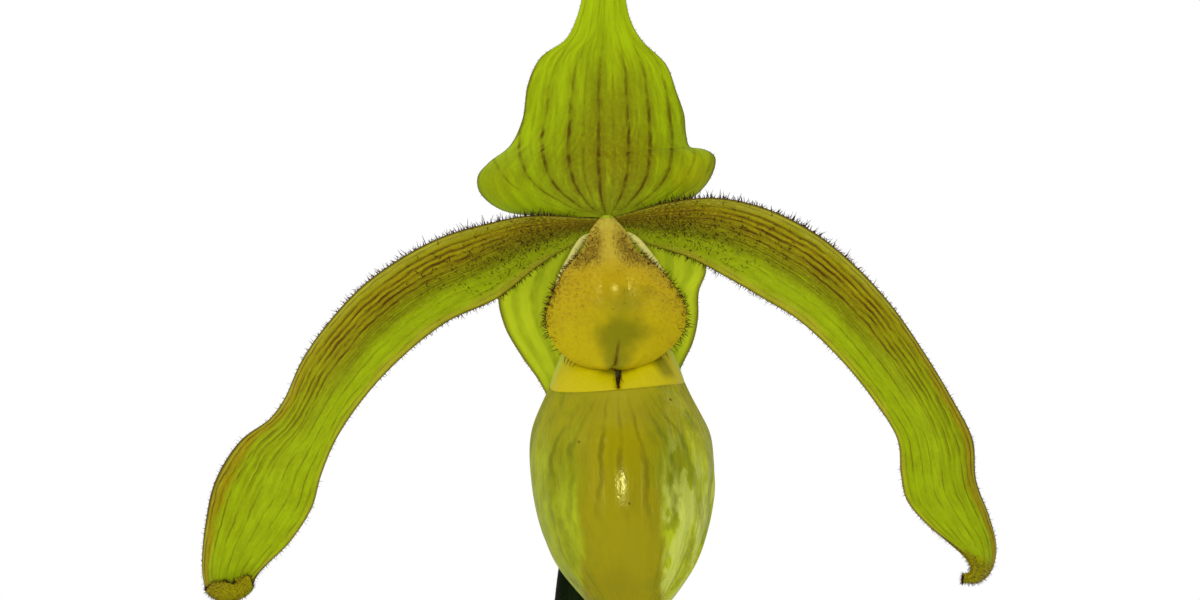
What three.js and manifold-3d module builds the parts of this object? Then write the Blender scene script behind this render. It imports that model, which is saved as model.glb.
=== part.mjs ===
import * as THREE from 'three';
import { mergeVertices } from 'three/addons/utils/BufferGeometryUtils.js';
import Module from 'manifold-3d';

// A slipper orchid in a clay pot, in millimetres, +Z up.
// The origin is the middle of the pot's foot, and the flower faces -Y.
// Flower pieces are drawn around the point where petals, sepals and column meet.

const POT_HEIGHT = 112;
const POT_TOP_RADIUS = 60;
const POT_FOOT_RADIUS = 43;
const POT_WALL = 5;
const POT_FLOOR = 8;
const POT_SEGMENTS = 48;
const RIM_HEIGHT = 21;
const RIM_PROUD = 3.2;
const EDGE_ROUND = 1.6;
const DRAIN_RADIUS = 5.5;
const DRAIN_RING_RADIUS = 24;
const DRAIN_COUNT = 4;

const SEAT_GAP = 0.35;
const BARK_LEVEL = 95;
const BARK_DOME = 3;
const CHIP_COUNT = 40;
const CHIP_LENGTH = 17;
const CHIP_WIDTH = 11;
const CHIP_HEIGHT = 6;
const CHIP_SEED = 7;

const ROOTSTOCK_DEPTH = 30;
const ROOTSTOCK_TOP = 100;

const LEAF_THICKNESS = 0.8;
const LEAF_NEST_STEP = 1.4;
const LEAF_ROWS = 20;
const LEAF_SIDE_COLUMNS = 3;
const LEAF_ROOM_FOR_SCAPE = 3.7;
const LEAF_ROOM_WITHOUT_SCAPE = 1.9;

const SCAPE_RADIUS = 2.75;
const SCAPE_TOP_RADIUS = 2.45;
const SCAPE_TOP = 293;
const SCAPE_SHIFT = 0.9;
const BRACT_NEST = 3.5;
const BRACT_LEAN = 0.1;
const BRACT_FOOT = 290;
const BRACT_SHIFT = 0.55;

const FLOWER_HEIGHT = 330;
const FLOWER_FORWARD = 26;
const FLOWER_ASIDE = 3.5;
const PETAL_THICKNESS = 0.8;
const OVARY_FACE = 2.85;
const SEPAL_LAYER = 1.9;
const PETAL_LAYER = 0.7;
const PETAL_ROLL_START = -44.3;
const PETAL_ROLL_RADIUS = 1.45;
const VIEW_DISTANCE = 600;
const EYE_HEIGHT = -10.2;

const POUCH_WALL = 0.9;
const POUCH_TOE = -50;
const POUCH_FRONT_RIM = -20.6;
const POUCH_CLAW_TOP = -5.9;

const CLAY = new THREE.Color(0.72, 0.4, 0.26);
const BARK = new THREE.Color(0.3, 0.18, 0.11);
const LEAF_GREEN = new THREE.Color(0.16, 0.33, 0.07);
const STEM_GREEN = new THREE.Color(0.08, 0.13, 0.04);
const SEPAL_GREEN = new THREE.Color(0.55, 0.62, 0.05);
const PETAL_GREEN = new THREE.Color(0.55, 0.55, 0.08);
const POUCH_OLIVE = new THREE.Color(0.62, 0.58, 0.08);
const SHIELD_GOLD = new THREE.Color(0.74, 0.6, 0.03);
const COLUMN_CREAM = new THREE.Color(0.8, 0.76, 0.4);

const wasm = await Module();
wasm.setup();

function solidOf(geometry) {
  const bare = geometry.clone();
  bare.deleteAttribute('normal');
  bare.deleteAttribute('uv');
  const merged = mergeVertices(bare, 1e-4);
  const mesh = new wasm.Mesh({
    numProp: 3,
    vertProperties: new Float32Array(merged.attributes.position.array),
    triVerts: new Uint32Array(merged.index.array),
  });
  return new wasm.Manifold(mesh);
}

function geometryOf(solid) {
  const mesh = solid.getMesh();
  const geometry = new THREE.BufferGeometry();
  geometry.setAttribute('position', new THREE.BufferAttribute(mesh.vertProperties, 3));
  geometry.setIndex(new THREE.BufferAttribute(mesh.triVerts, 1));
  return geometry;
}

function fuse(geometries) {
  const solids = geometries.map(solidOf);
  return solids.reduce((whole, piece) => whole.add(piece));
}

function randomFrom(seed) {
  let state = seed;
  return () => {
    state = (state * 16807) % 2147483647;
    return state / 2147483647;
  };
}

function smoothRise(value, start, end) {
  return THREE.MathUtils.smoothstep(value, start, end);
}

// Each entry is [place, value]; the value is blended smoothly between the two nearest places.
function valueAlong(entries, place) {
  if (place <= entries[0][0]) return entries[0][1];
  for (let i = 1; i < entries.length; i++) {
    const [start, before] = entries[i - 1];
    const [end, after] = entries[i];
    if (place <= end) {
      return THREE.MathUtils.lerp(before, after, (place - start) / (end - start));
    }
  }
  return entries[entries.length - 1][1];
}

function geometryFrom(points, triangles) {
  const volume = triangles.reduce((sum, [a, b, c]) => {
    const cross = new THREE.Vector3().crossVectors(points[b], points[c]);
    return sum + points[a].dot(cross);
  }, 0);
  const index = [];
  for (const [a, b, c] of triangles) {
    if (volume > 0) index.push(a, b, c);
    else index.push(a, c, b);
  }
  const geometry = new THREE.BufferGeometry();
  const flat = points.flatMap((point) => point.toArray());
  geometry.setAttribute('position', new THREE.Float32BufferAttribute(flat, 3));
  geometry.setIndex(index);
  geometry.computeVertexNormals();
  return geometry;
}

// A closed skin over rings of equally many points, with a fan over each end.
function skinOver(rings) {
  const count = rings[0].length;
  const points = rings.flat();
  const triangles = [];
  for (let ring = 0; ring + 1 < rings.length; ring++) {
    for (let i = 0; i < count; i++) {
      const a = ring * count + i;
      const b = ring * count + ((i + 1) % count);
      triangles.push([a, b, b + count], [a, b + count, a + count]);
    }
  }
  const last = (rings.length - 1) * count;
  const firstMiddle = points.length;
  points.push(middleOf(rings[0]), middleOf(rings[rings.length - 1]));
  for (let i = 0; i < count; i++) {
    const next = (i + 1) % count;
    triangles.push([firstMiddle, next, i]);
    triangles.push([firstMiddle + 1, last + i, last + next]);
  }
  return geometryFrom(points, triangles);
}

function middleOf(ring) {
  const sum = ring.reduce((total, point) => total.add(point), new THREE.Vector3());
  return sum.divideScalar(ring.length);
}

// Each grid point's normal is the mean of the cells around it.
function gridNormals(grid) {
  const normals = grid.map((row) => row.map(() => new THREE.Vector3()));
  for (let i = 0; i + 1 < grid.length; i++) {
    for (let j = 0; j + 1 < grid[0].length; j++) {
      const rising = new THREE.Vector3().subVectors(grid[i + 1][j + 1], grid[i][j]);
      const falling = new THREE.Vector3().subVectors(grid[i][j + 1], grid[i + 1][j]);
      const cell = rising.cross(falling);
      for (const [a, b] of [[i, j], [i + 1, j], [i, j + 1], [i + 1, j + 1]]) normals[a][b].add(cell);
    }
  }
  return normals.map((row) => row.map((normal) => normal.normalize()));
}

// A thin blade whose middle surface is a grid of points; both faces are split alike.
function bladeOver(grid, thicknessAt) {
  const rows = grid.length - 1;
  const columns = grid[0].length - 1;
  const front = [];
  const back = [];
  const normals = gridNormals(grid);
  for (let i = 0; i <= rows; i++) {
    for (let j = 0; j <= columns; j++) {
      const normal = normals[i][j];
      const half = thicknessAt(i / rows, j / columns) / 2;
      front.push(grid[i][j].clone().addScaledVector(normal, half));
      back.push(grid[i][j].clone().addScaledVector(normal, -half));
    }
  }
  const triangles = [];
  const offset = front.length;
  const at = (i, j) => i * (columns + 1) + j;
  for (let i = 0; i < rows; i++) {
    for (let j = 0; j < columns; j++) {
      const corners = [at(i, j), at(i + 1, j), at(i + 1, j + 1), at(i, j + 1)];
      const [a, b, c, d] = corners;
      triangles.push([a, b, c], [a, c, d]);
      triangles.push([a + offset, c + offset, b + offset], [a + offset, d + offset, c + offset]);
    }
  }
  const wall = (a, b) => {
    triangles.push([a, a + offset, b + offset], [a, b + offset, b]);
  };
  for (let i = 0; i < rows; i++) {
    wall(at(i, 0), at(i + 1, 0));
    wall(at(i + 1, columns), at(i, columns));
  }
  for (let j = 0; j < columns; j++) {
    wall(at(0, j + 1), at(0, j));
    wall(at(rows, j), at(rows, j + 1));
  }
  return geometryFrom([...front, ...back], triangles);
}

// A round stem along a curve; radiusAt takes the share of the length and the angle round it.
function stemAlong(curve, steps, sides, radiusAt) {
  const frames = curve.computeFrenetFrames(steps, false);
  const rings = [];
  for (let i = 0; i <= steps; i++) {
    const centre = curve.getPointAt(i / steps);
    const ring = [];
    for (let k = 0; k < sides; k++) {
      const angle = (k / sides) * 2 * Math.PI;
      const radius = radiusAt(i / steps, angle);
      const point = centre.clone();
      point.addScaledVector(frames.normals[i], Math.cos(angle) * radius);
      point.addScaledVector(frames.binormals[i], Math.sin(angle) * radius);
      ring.push(point);
    }
    rings.push(ring);
  }
  return skinOver(rings);
}

function turnedAboutZ(profile, segments) {
  const points = profile.map(([radius, z]) => new THREE.Vector2(radius, z));
  const geometry = new THREE.LatheGeometry(points, segments);
  geometry.rotateX(Math.PI / 2);
  return geometry;
}

function cylinderAt(x, y, bottom, top, radius, segments) {
  const geometry = new THREE.CylinderGeometry(radius, radius, top - bottom, segments);
  geometry.rotateX(Math.PI / 2);
  geometry.translate(x, y, (bottom + top) / 2);
  return geometry;
}

function named(name, geometry, color, roughness) {
  const material = new THREE.MeshStandardMaterial({ color, roughness, metalness: 0 });
  const mesh = new THREE.Mesh(geometry, material);
  mesh.name = name;
  return mesh;
}

// Pot

function potOuterRadius(z) {
  return THREE.MathUtils.lerp(POT_FOOT_RADIUS, POT_TOP_RADIUS, z / POT_HEIGHT);
}

function potInnerRadius(z) {
  return potOuterRadius(z) - POT_WALL;
}

function potGeometry() {
  const bandFoot = POT_HEIGHT - RIM_HEIGHT;
  const bandRadius = potOuterRadius(POT_HEIGHT) + RIM_PROUD;
  const profile = [
    [0, 0],
    [POT_FOOT_RADIUS - EDGE_ROUND, 0],
    [POT_FOOT_RADIUS, EDGE_ROUND],
    [potOuterRadius(bandFoot), bandFoot],
    [bandRadius - EDGE_ROUND, bandFoot],
    [bandRadius - EDGE_ROUND / 2, bandFoot + EDGE_ROUND],
    [bandRadius, POT_HEIGHT - EDGE_ROUND],
    [bandRadius - EDGE_ROUND, POT_HEIGHT],
    [potInnerRadius(POT_HEIGHT) + EDGE_ROUND, POT_HEIGHT],
    [potInnerRadius(POT_HEIGHT), POT_HEIGHT - EDGE_ROUND],
    [potInnerRadius(POT_FLOOR), POT_FLOOR],
    [0, POT_FLOOR],
  ];
  let pot = solidOf(turnedAboutZ(profile, POT_SEGMENTS));
  for (let hole = 0; hole < DRAIN_COUNT; hole++) {
    const angle = ((hole + 0.5) / DRAIN_COUNT) * 2 * Math.PI;
    const x = Math.cos(angle) * DRAIN_RING_RADIUS;
    const y = Math.sin(angle) * DRAIN_RING_RADIUS;
    pot = pot.subtract(solidOf(cylinderAt(x, y, -1, POT_FLOOR + 1, DRAIN_RADIUS, 16)));
  }
  return geometryOf(pot);
}

// Bark bed: a domed fill with chips standing out of it

function barkFillProfile(top) {
  return [
    [0, POT_FLOOR + SEAT_GAP],
    [potInnerRadius(POT_FLOOR) - SEAT_GAP, POT_FLOOR + SEAT_GAP],
    [potInnerRadius(top) - SEAT_GAP, top],
  ];
}

function chipGeometry(random) {
  const chip = new THREE.BoxGeometry(CHIP_LENGTH, CHIP_WIDTH, CHIP_HEIGHT);
  const stretch = 0.65 + 0.6 * random();
  const places = chip.attributes.position;
  const skew = 0.25 * (random() - 0.5);
  for (let i = 0; i < places.count; i++) {
    const x = places.getX(i);
    const z = places.getZ(i);
    const narrowing = 1 - 0.3 * Math.sign(x) * (0.5 + skew);
    places.setX(i, x * stretch);
    places.setY(i, places.getY(i) * narrowing * (z > 0 ? 0.8 : 1) + skew * x);
  }
  chip.rotateX(0.7 * (random() - 0.5));
  chip.rotateY(0.6 * (random() - 0.5));
  chip.rotateZ(2 * Math.PI * random());
  return chip;
}

function barkBedGeometry(stemPlaces) {
  const random = randomFrom(CHIP_SEED);
  const edge = potInnerRadius(BARK_LEVEL) - SEAT_GAP;
  const fill = [
    ...barkFillProfile(BARK_LEVEL),
    [edge * 0.6, BARK_LEVEL + BARK_DOME * 0.7],
    [0, BARK_LEVEL + BARK_DOME],
  ];
  let bed = solidOf(turnedAboutZ(fill, POT_SEGMENTS));
  const goldenTurn = Math.PI * (3 - Math.sqrt(5));
  for (let i = 0; i < CHIP_COUNT; i++) {
    const radius = (edge - CHIP_WIDTH / 2) * Math.sqrt((i + 0.5) / CHIP_COUNT);
    const angle = i * goldenTurn;
    const dome = BARK_DOME * (1 - radius / edge);
    const chip = chipGeometry(random);
    const height = BARK_LEVEL + dome + CHIP_HEIGHT * (0.02 + 0.2 * random());
    chip.translate(Math.cos(angle) * radius, Math.sin(angle) * radius, height);
    bed = bed.add(solidOf(chip));
  }
  const room = [...barkFillProfile(POT_HEIGHT), [0, POT_HEIGHT]];
  bed = bed.intersect(solidOf(turnedAboutZ(room, POT_SEGMENTS)));
  for (const place of stemPlaces) {
    const bottom = ROOTSTOCK_TOP - ROOTSTOCK_DEPTH - SEAT_GAP;
    const hole = cylinderAt(place.x, place.y, bottom, POT_HEIGHT, place.radius + SEAT_GAP, 24);
    bed = bed.subtract(solidOf(hole));
  }
  return geometryOf(bed);
}

// Leaves: folded bases nested in one another, opening into arching straps

function leafLean(leaf, run) {
  const share = (run - leaf.sheath) / (leaf.length - leaf.sheath);
  return share <= 0 ? 0 : leaf.arch * share ** 0.85;
}

function leafHalfWidth(leaf, run) {
  const share = run / leaf.length;
  const clasp = leaf.clasp * leaf.nest + 1.2;
  const widening = smoothRise(run, leaf.sheath - 2, leaf.sheath + 60);
  const widened = THREE.MathUtils.lerp(clasp, leaf.halfWidth, widening);
  const tipShare = THREE.MathUtils.clamp((share - 0.68) / 0.32, 0, 1);
  return widened * Math.sqrt(1 - 0.995 * tipShare ** 2.2);
}

function leafSection(leaf, run, spot, lean) {
  const half = leafHalfWidth(leaf, run);
  const opened = smoothRise(run, leaf.sheath - 6, leaf.sheath + leaf.opening);
  const fold = THREE.MathUtils.lerp(leaf.clasp, leaf.blade, opened);
  const bend = THREE.MathUtils.lerp(leaf.clasp * leaf.nest, 4, opened);
  const inward = new THREE.Vector3(-Math.cos(lean), 0, Math.sin(lean));
  const pieces = 6;
  const stride = half / (LEAF_SIDE_COLUMNS * pieces);
  const side = [[0, 0]];
  let outward = 0;
  let raised = 0;
  for (let k = 0; k < LEAF_SIDE_COLUMNS * pieces; k++) {
    const angle = fold * THREE.MathUtils.clamp(((k + 0.5) * stride) / bend, 0, 1);
    outward += Math.cos(angle) * stride;
    raised += Math.sin(angle) * stride;
    if ((k + 1) % pieces === 0) side.push([outward, raised]);
  }
  const sway = leaf.sway * (Math.max(0, run - leaf.sheath) / leaf.length) ** 2;
  const ripple = leaf.ripple * opened * Math.sin(run / 14 + leaf.nest);
  const place = (sign, [out, up], step) => {
    const lift = up + sign * ripple * (step / LEAF_SIDE_COLUMNS) ** 2;
    const point = spot.clone().addScaledVector(inward, lift);
    point.y += sign * out + sway;
    point.x *= leaf.side;
    return point;
  };
  const left = side.map((entry, step) => place(-1, entry, step)).reverse();
  const right = side.map((entry, step) => place(1, entry, step)).slice(1);
  return [...left, ...right];
}

function leafGeometry(leaf) {
  const grid = [];
  const step = leaf.length / LEAF_ROWS;
  const spot = new THREE.Vector3(leaf.nest, 0, 0);
  for (let i = 0; i <= LEAF_ROWS; i++) {
    if (i > 0) {
      const lean = leafLean(leaf, (i - 0.5) * step);
      spot.x += Math.sin(lean) * step;
      spot.z += Math.cos(lean) * step;
    }
    grid.push(leafSection(leaf, i * step, spot, leafLean(leaf, i * step)));
  }
  return bladeOver(grid, () => LEAF_THICKNESS);
}

// The oldest leaf is outermost, lowest and most arched.
function leafFan(names, growth) {
  const fan = new THREE.Group();
  names.forEach((name, order) => {
    const inner = names.length - 1 - order;
    const age = inner / (names.length - 1);
    const leaf = {
      side: order % 2 === 0 ? growth.firstSide : -growth.firstSide,
      nest: growth.room + LEAF_NEST_STEP * inner,
      sheath: growth.sheath + growth.sheathStep * order,
      length: growth.length * (0.93 + 0.14 * Math.sin(2.1 * order + 0.6)),
      halfWidth: growth.halfWidth * (0.86 + 0.14 * age),
      arch: THREE.MathUtils.lerp(growth.youngArch, growth.oldArch, age),
      clasp: Math.PI / 2,
      opening: 48,
      blade: 0.3,
      sway: growth.backward + growth.sway * Math.cos(1.9 * order + 0.4),
      ripple: 1.1,
    };
    fan.add(named(name, leafGeometry(leaf), LEAF_GREEN, 0.4));
  });
  fan.position.set(growth.x, growth.y, ROOTSTOCK_TOP + SEAT_GAP);
  fan.rotation.z = growth.turn;
  return fan;
}

function rootstockGeometry(radius) {
  const profile = [
    [0, ROOTSTOCK_TOP - ROOTSTOCK_DEPTH],
    [radius * 0.35, ROOTSTOCK_TOP - ROOTSTOCK_DEPTH],
    [radius * 0.8, ROOTSTOCK_TOP - ROOTSTOCK_DEPTH * 0.7],
    [radius, ROOTSTOCK_TOP - ROOTSTOCK_DEPTH * 0.3],
    [radius, ROOTSTOCK_TOP],
    [0, ROOTSTOCK_TOP],
  ];
  return turnedAboutZ(profile, 20);
}

// Flower stem, bract and ovary

function scapeGeometry() {
  const curve = new THREE.CatmullRomCurve3([
    new THREE.Vector3(0, 0, ROOTSTOCK_TOP + SEAT_GAP),
    new THREE.Vector3(0, 0, ROOTSTOCK_TOP + 75),
    new THREE.Vector3(-0.9, -0.6, 240),
    new THREE.Vector3(-0.8, -0.2, 279),
    new THREE.Vector3(SCAPE_SHIFT, 0, SCAPE_TOP),
  ]);
  const radiusAt = (share) => THREE.MathUtils.lerp(SCAPE_RADIUS, SCAPE_TOP_RADIUS, share);
  return stemAlong(curve, 22, 14, radiusAt);
}

// The ovary rises from the scape and arches forward to the back of the flower.
function ovaryGeometry() {
  const curve = new THREE.CatmullRomCurve3([
    new THREE.Vector3(SCAPE_SHIFT, 0, SCAPE_TOP + SEAT_GAP),
    new THREE.Vector3(2, -0.4, SCAPE_TOP + 14),
    new THREE.Vector3(2.9, -4.5, SCAPE_TOP + 28),
    new THREE.Vector3(3.4, -12, FLOWER_HEIGHT + 1),
    new THREE.Vector3(FLOWER_ASIDE, OVARY_FACE - FLOWER_FORWARD, FLOWER_HEIGHT),
  ]);
  const radiusAt = (share, angle) => {
    const body = 1.8 + 0.45 * Math.sin(Math.PI * share ** 0.9);
    return body * (1 + 0.1 * Math.cos(6 * angle));
  };
  return stemAlong(curve, 16, 24, radiusAt);
}

function bractGeometry() {
  const bract = {
    side: 1, nest: BRACT_NEST, sheath: 6, length: 29,
    halfWidth: 5, arch: 0.5, clasp: 2.7, opening: 18, blade: 0.95, sway: 0, ripple: 0,
  };
  const geometry = leafGeometry(bract);
  geometry.rotateZ(Math.PI / 2 + 0.25);
  geometry.rotateY(BRACT_LEAN);
  geometry.translate(BRACT_SHIFT, 0, BRACT_FOOT);
  return geometry;
}

// Sepals and petals: blades ruled between two margins, each a list of [x, z] points

function marginCurve(points) {
  const places = points.map(([x, z]) => new THREE.Vector3(x, 0, z));
  return new THREE.CatmullRomCurve3(places, false, 'centripetal');
}

// Outlines are drawn as they look from straight ahead, so what is nearer is made smaller.
function asSeenFromAhead(point) {
  const nearness = 1 + point.y / VIEW_DISTANCE;
  point.x *= nearness;
  point.z = EYE_HEIGHT + (point.z - EYE_HEIGHT) * nearness;
  return point;
}

function bladeBetween(left, right, rows, columns, depthAt) {
  const leftCurve = marginCurve(left);
  const rightCurve = marginCurve(right);
  const grid = [];
  for (let i = 0; i <= rows; i++) {
    const start = leftCurve.getPointAt(i / rows);
    const end = rightCurve.getPointAt(i / rows);
    const row = [];
    for (let j = 0; j <= columns; j++) {
      const point = start.clone().lerp(end, j / columns);
      point.y = depthAt(i / rows, j / columns, point);
      row.push(asSeenFromAhead(point));
    }
    grid.push(row);
  }
  return grid;
}

function dorsalSepalGeometry() {
  const left = [
    [-2.6, -0.4], [-7, 0], [-12.6, 0.7], [-15.2, 2.8], [-15.4, 4.6], [-14.1, 6.2], [-11.6, 8.2],
    [-10.1, 11.4], [-9.5, 15.6], [-8, 18.8], [-4.9, 21.1], [-3.5, 24], [-2.6, 28], [-1.2, 34.5],
  ];
  const right = [
    [2.6, -0.4], [6, 0.6], [10, 2], [12.4, 4.6], [12.9, 6.9], [11.8, 7.7], [9.9, 8.1],
    [9.4, 9.8], [9.2, 12], [8.4, 14.5], [7.1, 18], [4.2, 20.9], [2.8, 23.4], [2, 27.4], [0.9, 34.5],
  ];
  const depthAt = (along, across) => {
    const edge = 2 * across - 1;
    const flare = Math.sin(Math.PI * THREE.MathUtils.clamp(along / 0.55, 0, 1));
    const recurve = 3.4 * flare * edge ** 4;
    const keel = 1.1 * Math.sin(Math.PI * along ** 0.6) * (1 - edge ** 2);
    const lean = 2.5 * along ** 2 + 1.5 * along;
    return SEPAL_LAYER + recurve + lean - keel * smoothRise(along, 0, 0.3) * 0.6;
  };
  const grid = bladeBetween(left, right, 22, 8, depthAt);
  return bladeOver(grid, () => PETAL_THICKNESS);
}

function synsepalGeometry() {
  const left = [
    [-2.6, -1.1], [-7, -2.4], [-11.4, -5.4], [-13, -9.4], [-12.3, -13.2], [-10.3, -16.8],
    [-8.2, -19.8], [-6.3, -23.4], [-4.1, -28], [-1.6, -32],
  ];
  const right = [
    [2.6, -1.1], [7, -1], [11, -3.4], [11.9, -6.6], [11, -9.2], [10.9, -12.4],
    [10.3, -15.2], [8.8, -18.4], [5.6, -26], [1, -32],
  ];
  const depthAt = (along, across) => {
    const edge = 2 * across - 1;
    const cup = 1.6 * Math.sin(Math.PI * along) * (1 - edge ** 2);
    const wave = 0.5 * Math.sin(9 * along) * edge ** 2 * smoothRise(along, 0.1, 0.3);
    const settled = smoothRise(along, 0.06, 0.4);
    return SEPAL_LAYER + settled * (3.5 * along + cup) + wave;
  };
  const grid = bladeBetween(left, right, 16, 8, depthAt);
  return bladeOver(grid, () => PETAL_THICKNESS);
}

// A petal bows forward along its length, and its upper margin is rolled back a little.
function petalDepth(along, across) {
  const bow = 7 * Math.sin(Math.PI * along * 0.8) * smoothRise(along, 0, 0.5);
  const rolled = 1.8 * smoothRise(along, 0.04, 0.3) * Math.max(0, 1 - 2 * across) ** 2;
  const channel = 0.7 * smoothRise(along, 0.04, 0.3) * Math.max(0, 2 * across - 1) ** 2;
  return PETAL_LAYER - bow + rolled - channel;
}

function rollForward(point, start, radius) {
  const drop = start - point.z;
  if (drop <= 0) return point;
  const angle = Math.min(drop / radius, Math.PI * 0.95);
  const rest = drop - angle * radius;
  point.z = start - radius * Math.sin(angle) - rest * Math.cos(angle);
  point.y -= radius * (1 - Math.cos(angle)) + rest * Math.sin(angle);
  return point;
}

function leftPetalGeometry() {
  const upper = [
    [-0.8, -0.4], [-9.1, -0.1], [-14, -1], [-20.5, -3], [-28.4, -7.8], [-33.1, -12.6],
    [-36.5, -17.4], [-38.7, -22.2], [-40.4, -24.5], [-43.9, -27.1], [-46.9, -31.8], [-48.1, -37],
    [-48.5, -42], [-47.4, -47], [-45.6, -49.6],
  ];
  const lower = [
    [-0.8, -2.2], [-4.4, -3.8], [-8.2, -6.1], [-13.2, -10], [-19.2, -12.8], [-25, -17.4],
    [-29.4, -22.2], [-32.6, -27], [-34.4, -31.4], [-35.4, -35], [-37.9, -39],
    [-43, -44.4], [-43.6, -48], [-44.6, -49.6],
  ];
  const grid = bladeBetween(upper, lower, 32, 5, petalDepth);
  for (const point of grid.flat()) rollForward(point, PETAL_ROLL_START, PETAL_ROLL_RADIUS);
  return bladeOver(grid, () => PETAL_THICKNESS);
}

function rightPetalGeometry() {
  const upper = [
    [0.8, -0.2], [7.8, 1.6], [13.3, 2], [19.1, 0.7], [24.9, -2.2], [29.7, -6.1], [34, -10.8],
    [37.9, -16.4], [41.4, -22.2], [43.8, -27], [44.2, -31.8], [45.9, -36.6], [46.6, -40],
    [46, -42.6], [44.6, -43.9], [42.7, -43.9],
  ];
  const lower = [
    [0.8, -2], [4.9, -3.5], [9.8, -5.1], [15, -7.8], [19.1, -10.2], [23, -12.6], [28.1, -17.4],
    [32, -22.2], [34.9, -27], [35.3, -31.2], [36, -34.2], [38.4, -37.1],
    [43.3, -41.2], [43.9, -42.4], [43.5, -43.1], [42.8, -43.3],
  ];
  const depthAt = (along, across) => {
    const hook = 2.5 * smoothRise(along, 0.88, 1) ** 2;
    return petalDepth(along, across) - hook;
  };
  const grid = bladeBetween(upper, lower, 32, 5, depthAt);
  return bladeOver(grid, () => PETAL_THICKNESS);
}

// Lip: a slipper-shaped pouch whose rim rises to a claw behind and folds in at the sides

function pouchHalfWidth(z) {
  const squares = [
    [POUCH_TOE, 0], [-46.1, 5.1 ** 2], [-41.4, 8.55 ** 2], [-36.6, 10.35 ** 2], [-31.8, 11.05 ** 2],
    [-27, 10.75 ** 2], [-24.6, 10.1 ** 2], [-22.2, 8.9 ** 2], [-20.6, 8.2 ** 2], [-16.4, 6.6 ** 2],
    [-10, 4.6 ** 2], [-4, 2.6 ** 2],
  ];
  return Math.sqrt(valueAlong(squares, z));
}

function pouchHalfDepth(z) {
  const squares = [
    [POUCH_TOE, 0], [-46.1, 4.7 ** 2], [-41.4, 7.6 ** 2], [-36.6, 9.2 ** 2], [-31.8, 9.8 ** 2],
    [-27, 9.6 ** 2], [-22.2, 8 ** 2], [-16.4, 5.8 ** 2], [-10, 3.2 ** 2], [-4, 1.3 ** 2],
  ];
  return Math.sqrt(valueAlong(squares, z));
}

function pouchCentre(z) {
  const aside = valueAlong([[POUCH_TOE, 2.8], [-41, 2.1], [-30, 1.75], [-20.6, 1.3], [-4, 0.3]], z);
  const depths = [[POUCH_TOE, -14], [-36, -13.6], [-27, -13], [-22.2, -11.4], [-16.4, -8.8], [-4, -2.4]];
  return { x: aside, y: valueAlong(depths, z) };
}

function pouchPoint(angle, z, wall) {
  const centre = pouchCentre(z);
  const halfWidth = Math.max(pouchHalfWidth(z) - wall, 0.05);
  const halfDepth = Math.max(pouchHalfDepth(z) - wall, 0.05);
  const x = centre.x + halfWidth * Math.sin(angle);
  const y = centre.y - halfDepth * Math.cos(angle);
  return asSeenFromAhead(new THREE.Vector3(x, y, z));
}

function pouchRimHeight(angle) {
  const backward = ((1 - Math.cos(angle)) / 2) ** 2.4;
  return THREE.MathUtils.lerp(POUCH_FRONT_RIM, POUCH_CLAW_TOP, backward);
}

// How far the folded-in side lobe reaches from the rim to the middle, and how much it rises.
function sideLobeReach(angle) {
  const front = Math.abs(Math.atan2(Math.sin(angle), Math.cos(angle)));
  return valueAlong([[0, 0.16], [0.12, 0.2], [0.4, 0.66], [1.5, 0.42], [2.3, 0.18], [3.2, 0.04]], front);
}

function sideLobeRise(angle) {
  const front = Math.abs(Math.atan2(Math.sin(angle), Math.cos(angle)));
  return valueAlong([[0, 0.3], [0.15, 0.6], [0.5, 3.4], [1.1, 2.6], [1.9, 0.6], [3.2, 0]], front);
}

function lipGeometry() {
  const around = 34;
  const wallRings = 11;
  const lobeRings = 3;
  const rings = [];
  const ringOf = (pointAt) => {
    const ring = [];
    for (let k = 0; k < around; k++) ring.push(pointAt((k / around) * 2 * Math.PI));
    return ring;
  };
  const wallRing = (share, wall) => ringOf((angle) => {
    const toe = POUCH_TOE + wall;
    const rim = pouchRimHeight(angle) - wall;
    const rise = 1 - Math.cos((share * Math.PI) / 2) ** 1.2;
    const z = THREE.MathUtils.lerp(toe, rim, rise);
    return pouchPoint(angle, z, wall);
  });
  const lobeRing = (share, wall) => ringOf((angle) => {
    const rim = pouchRimHeight(angle);
    const centre = pouchCentre(rim);
    const point = pouchPoint(angle, rim, wall);
    const reach = share * sideLobeReach(angle);
    point.x = THREE.MathUtils.lerp(point.x, centre.x, reach);
    point.y = THREE.MathUtils.lerp(point.y, centre.y, reach);
    point.z = rim - wall + share ** 1.6 * sideLobeRise(angle);
    return point;
  });
  for (let i = 1; i <= wallRings; i++) rings.push(wallRing(i / wallRings, 0));
  for (let i = 1; i <= lobeRings; i++) rings.push(lobeRing(i / lobeRings, 0));
  for (let i = lobeRings; i >= 1; i--) rings.push(lobeRing(i / lobeRings, POUCH_WALL));
  for (let i = wallRings; i >= 1; i--) rings.push(wallRing(i / wallRings, POUCH_WALL));
  return skinOver(rings);
}

// Staminode: a domed shield hung from a narrow neck, grooved low down in the middle

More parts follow.
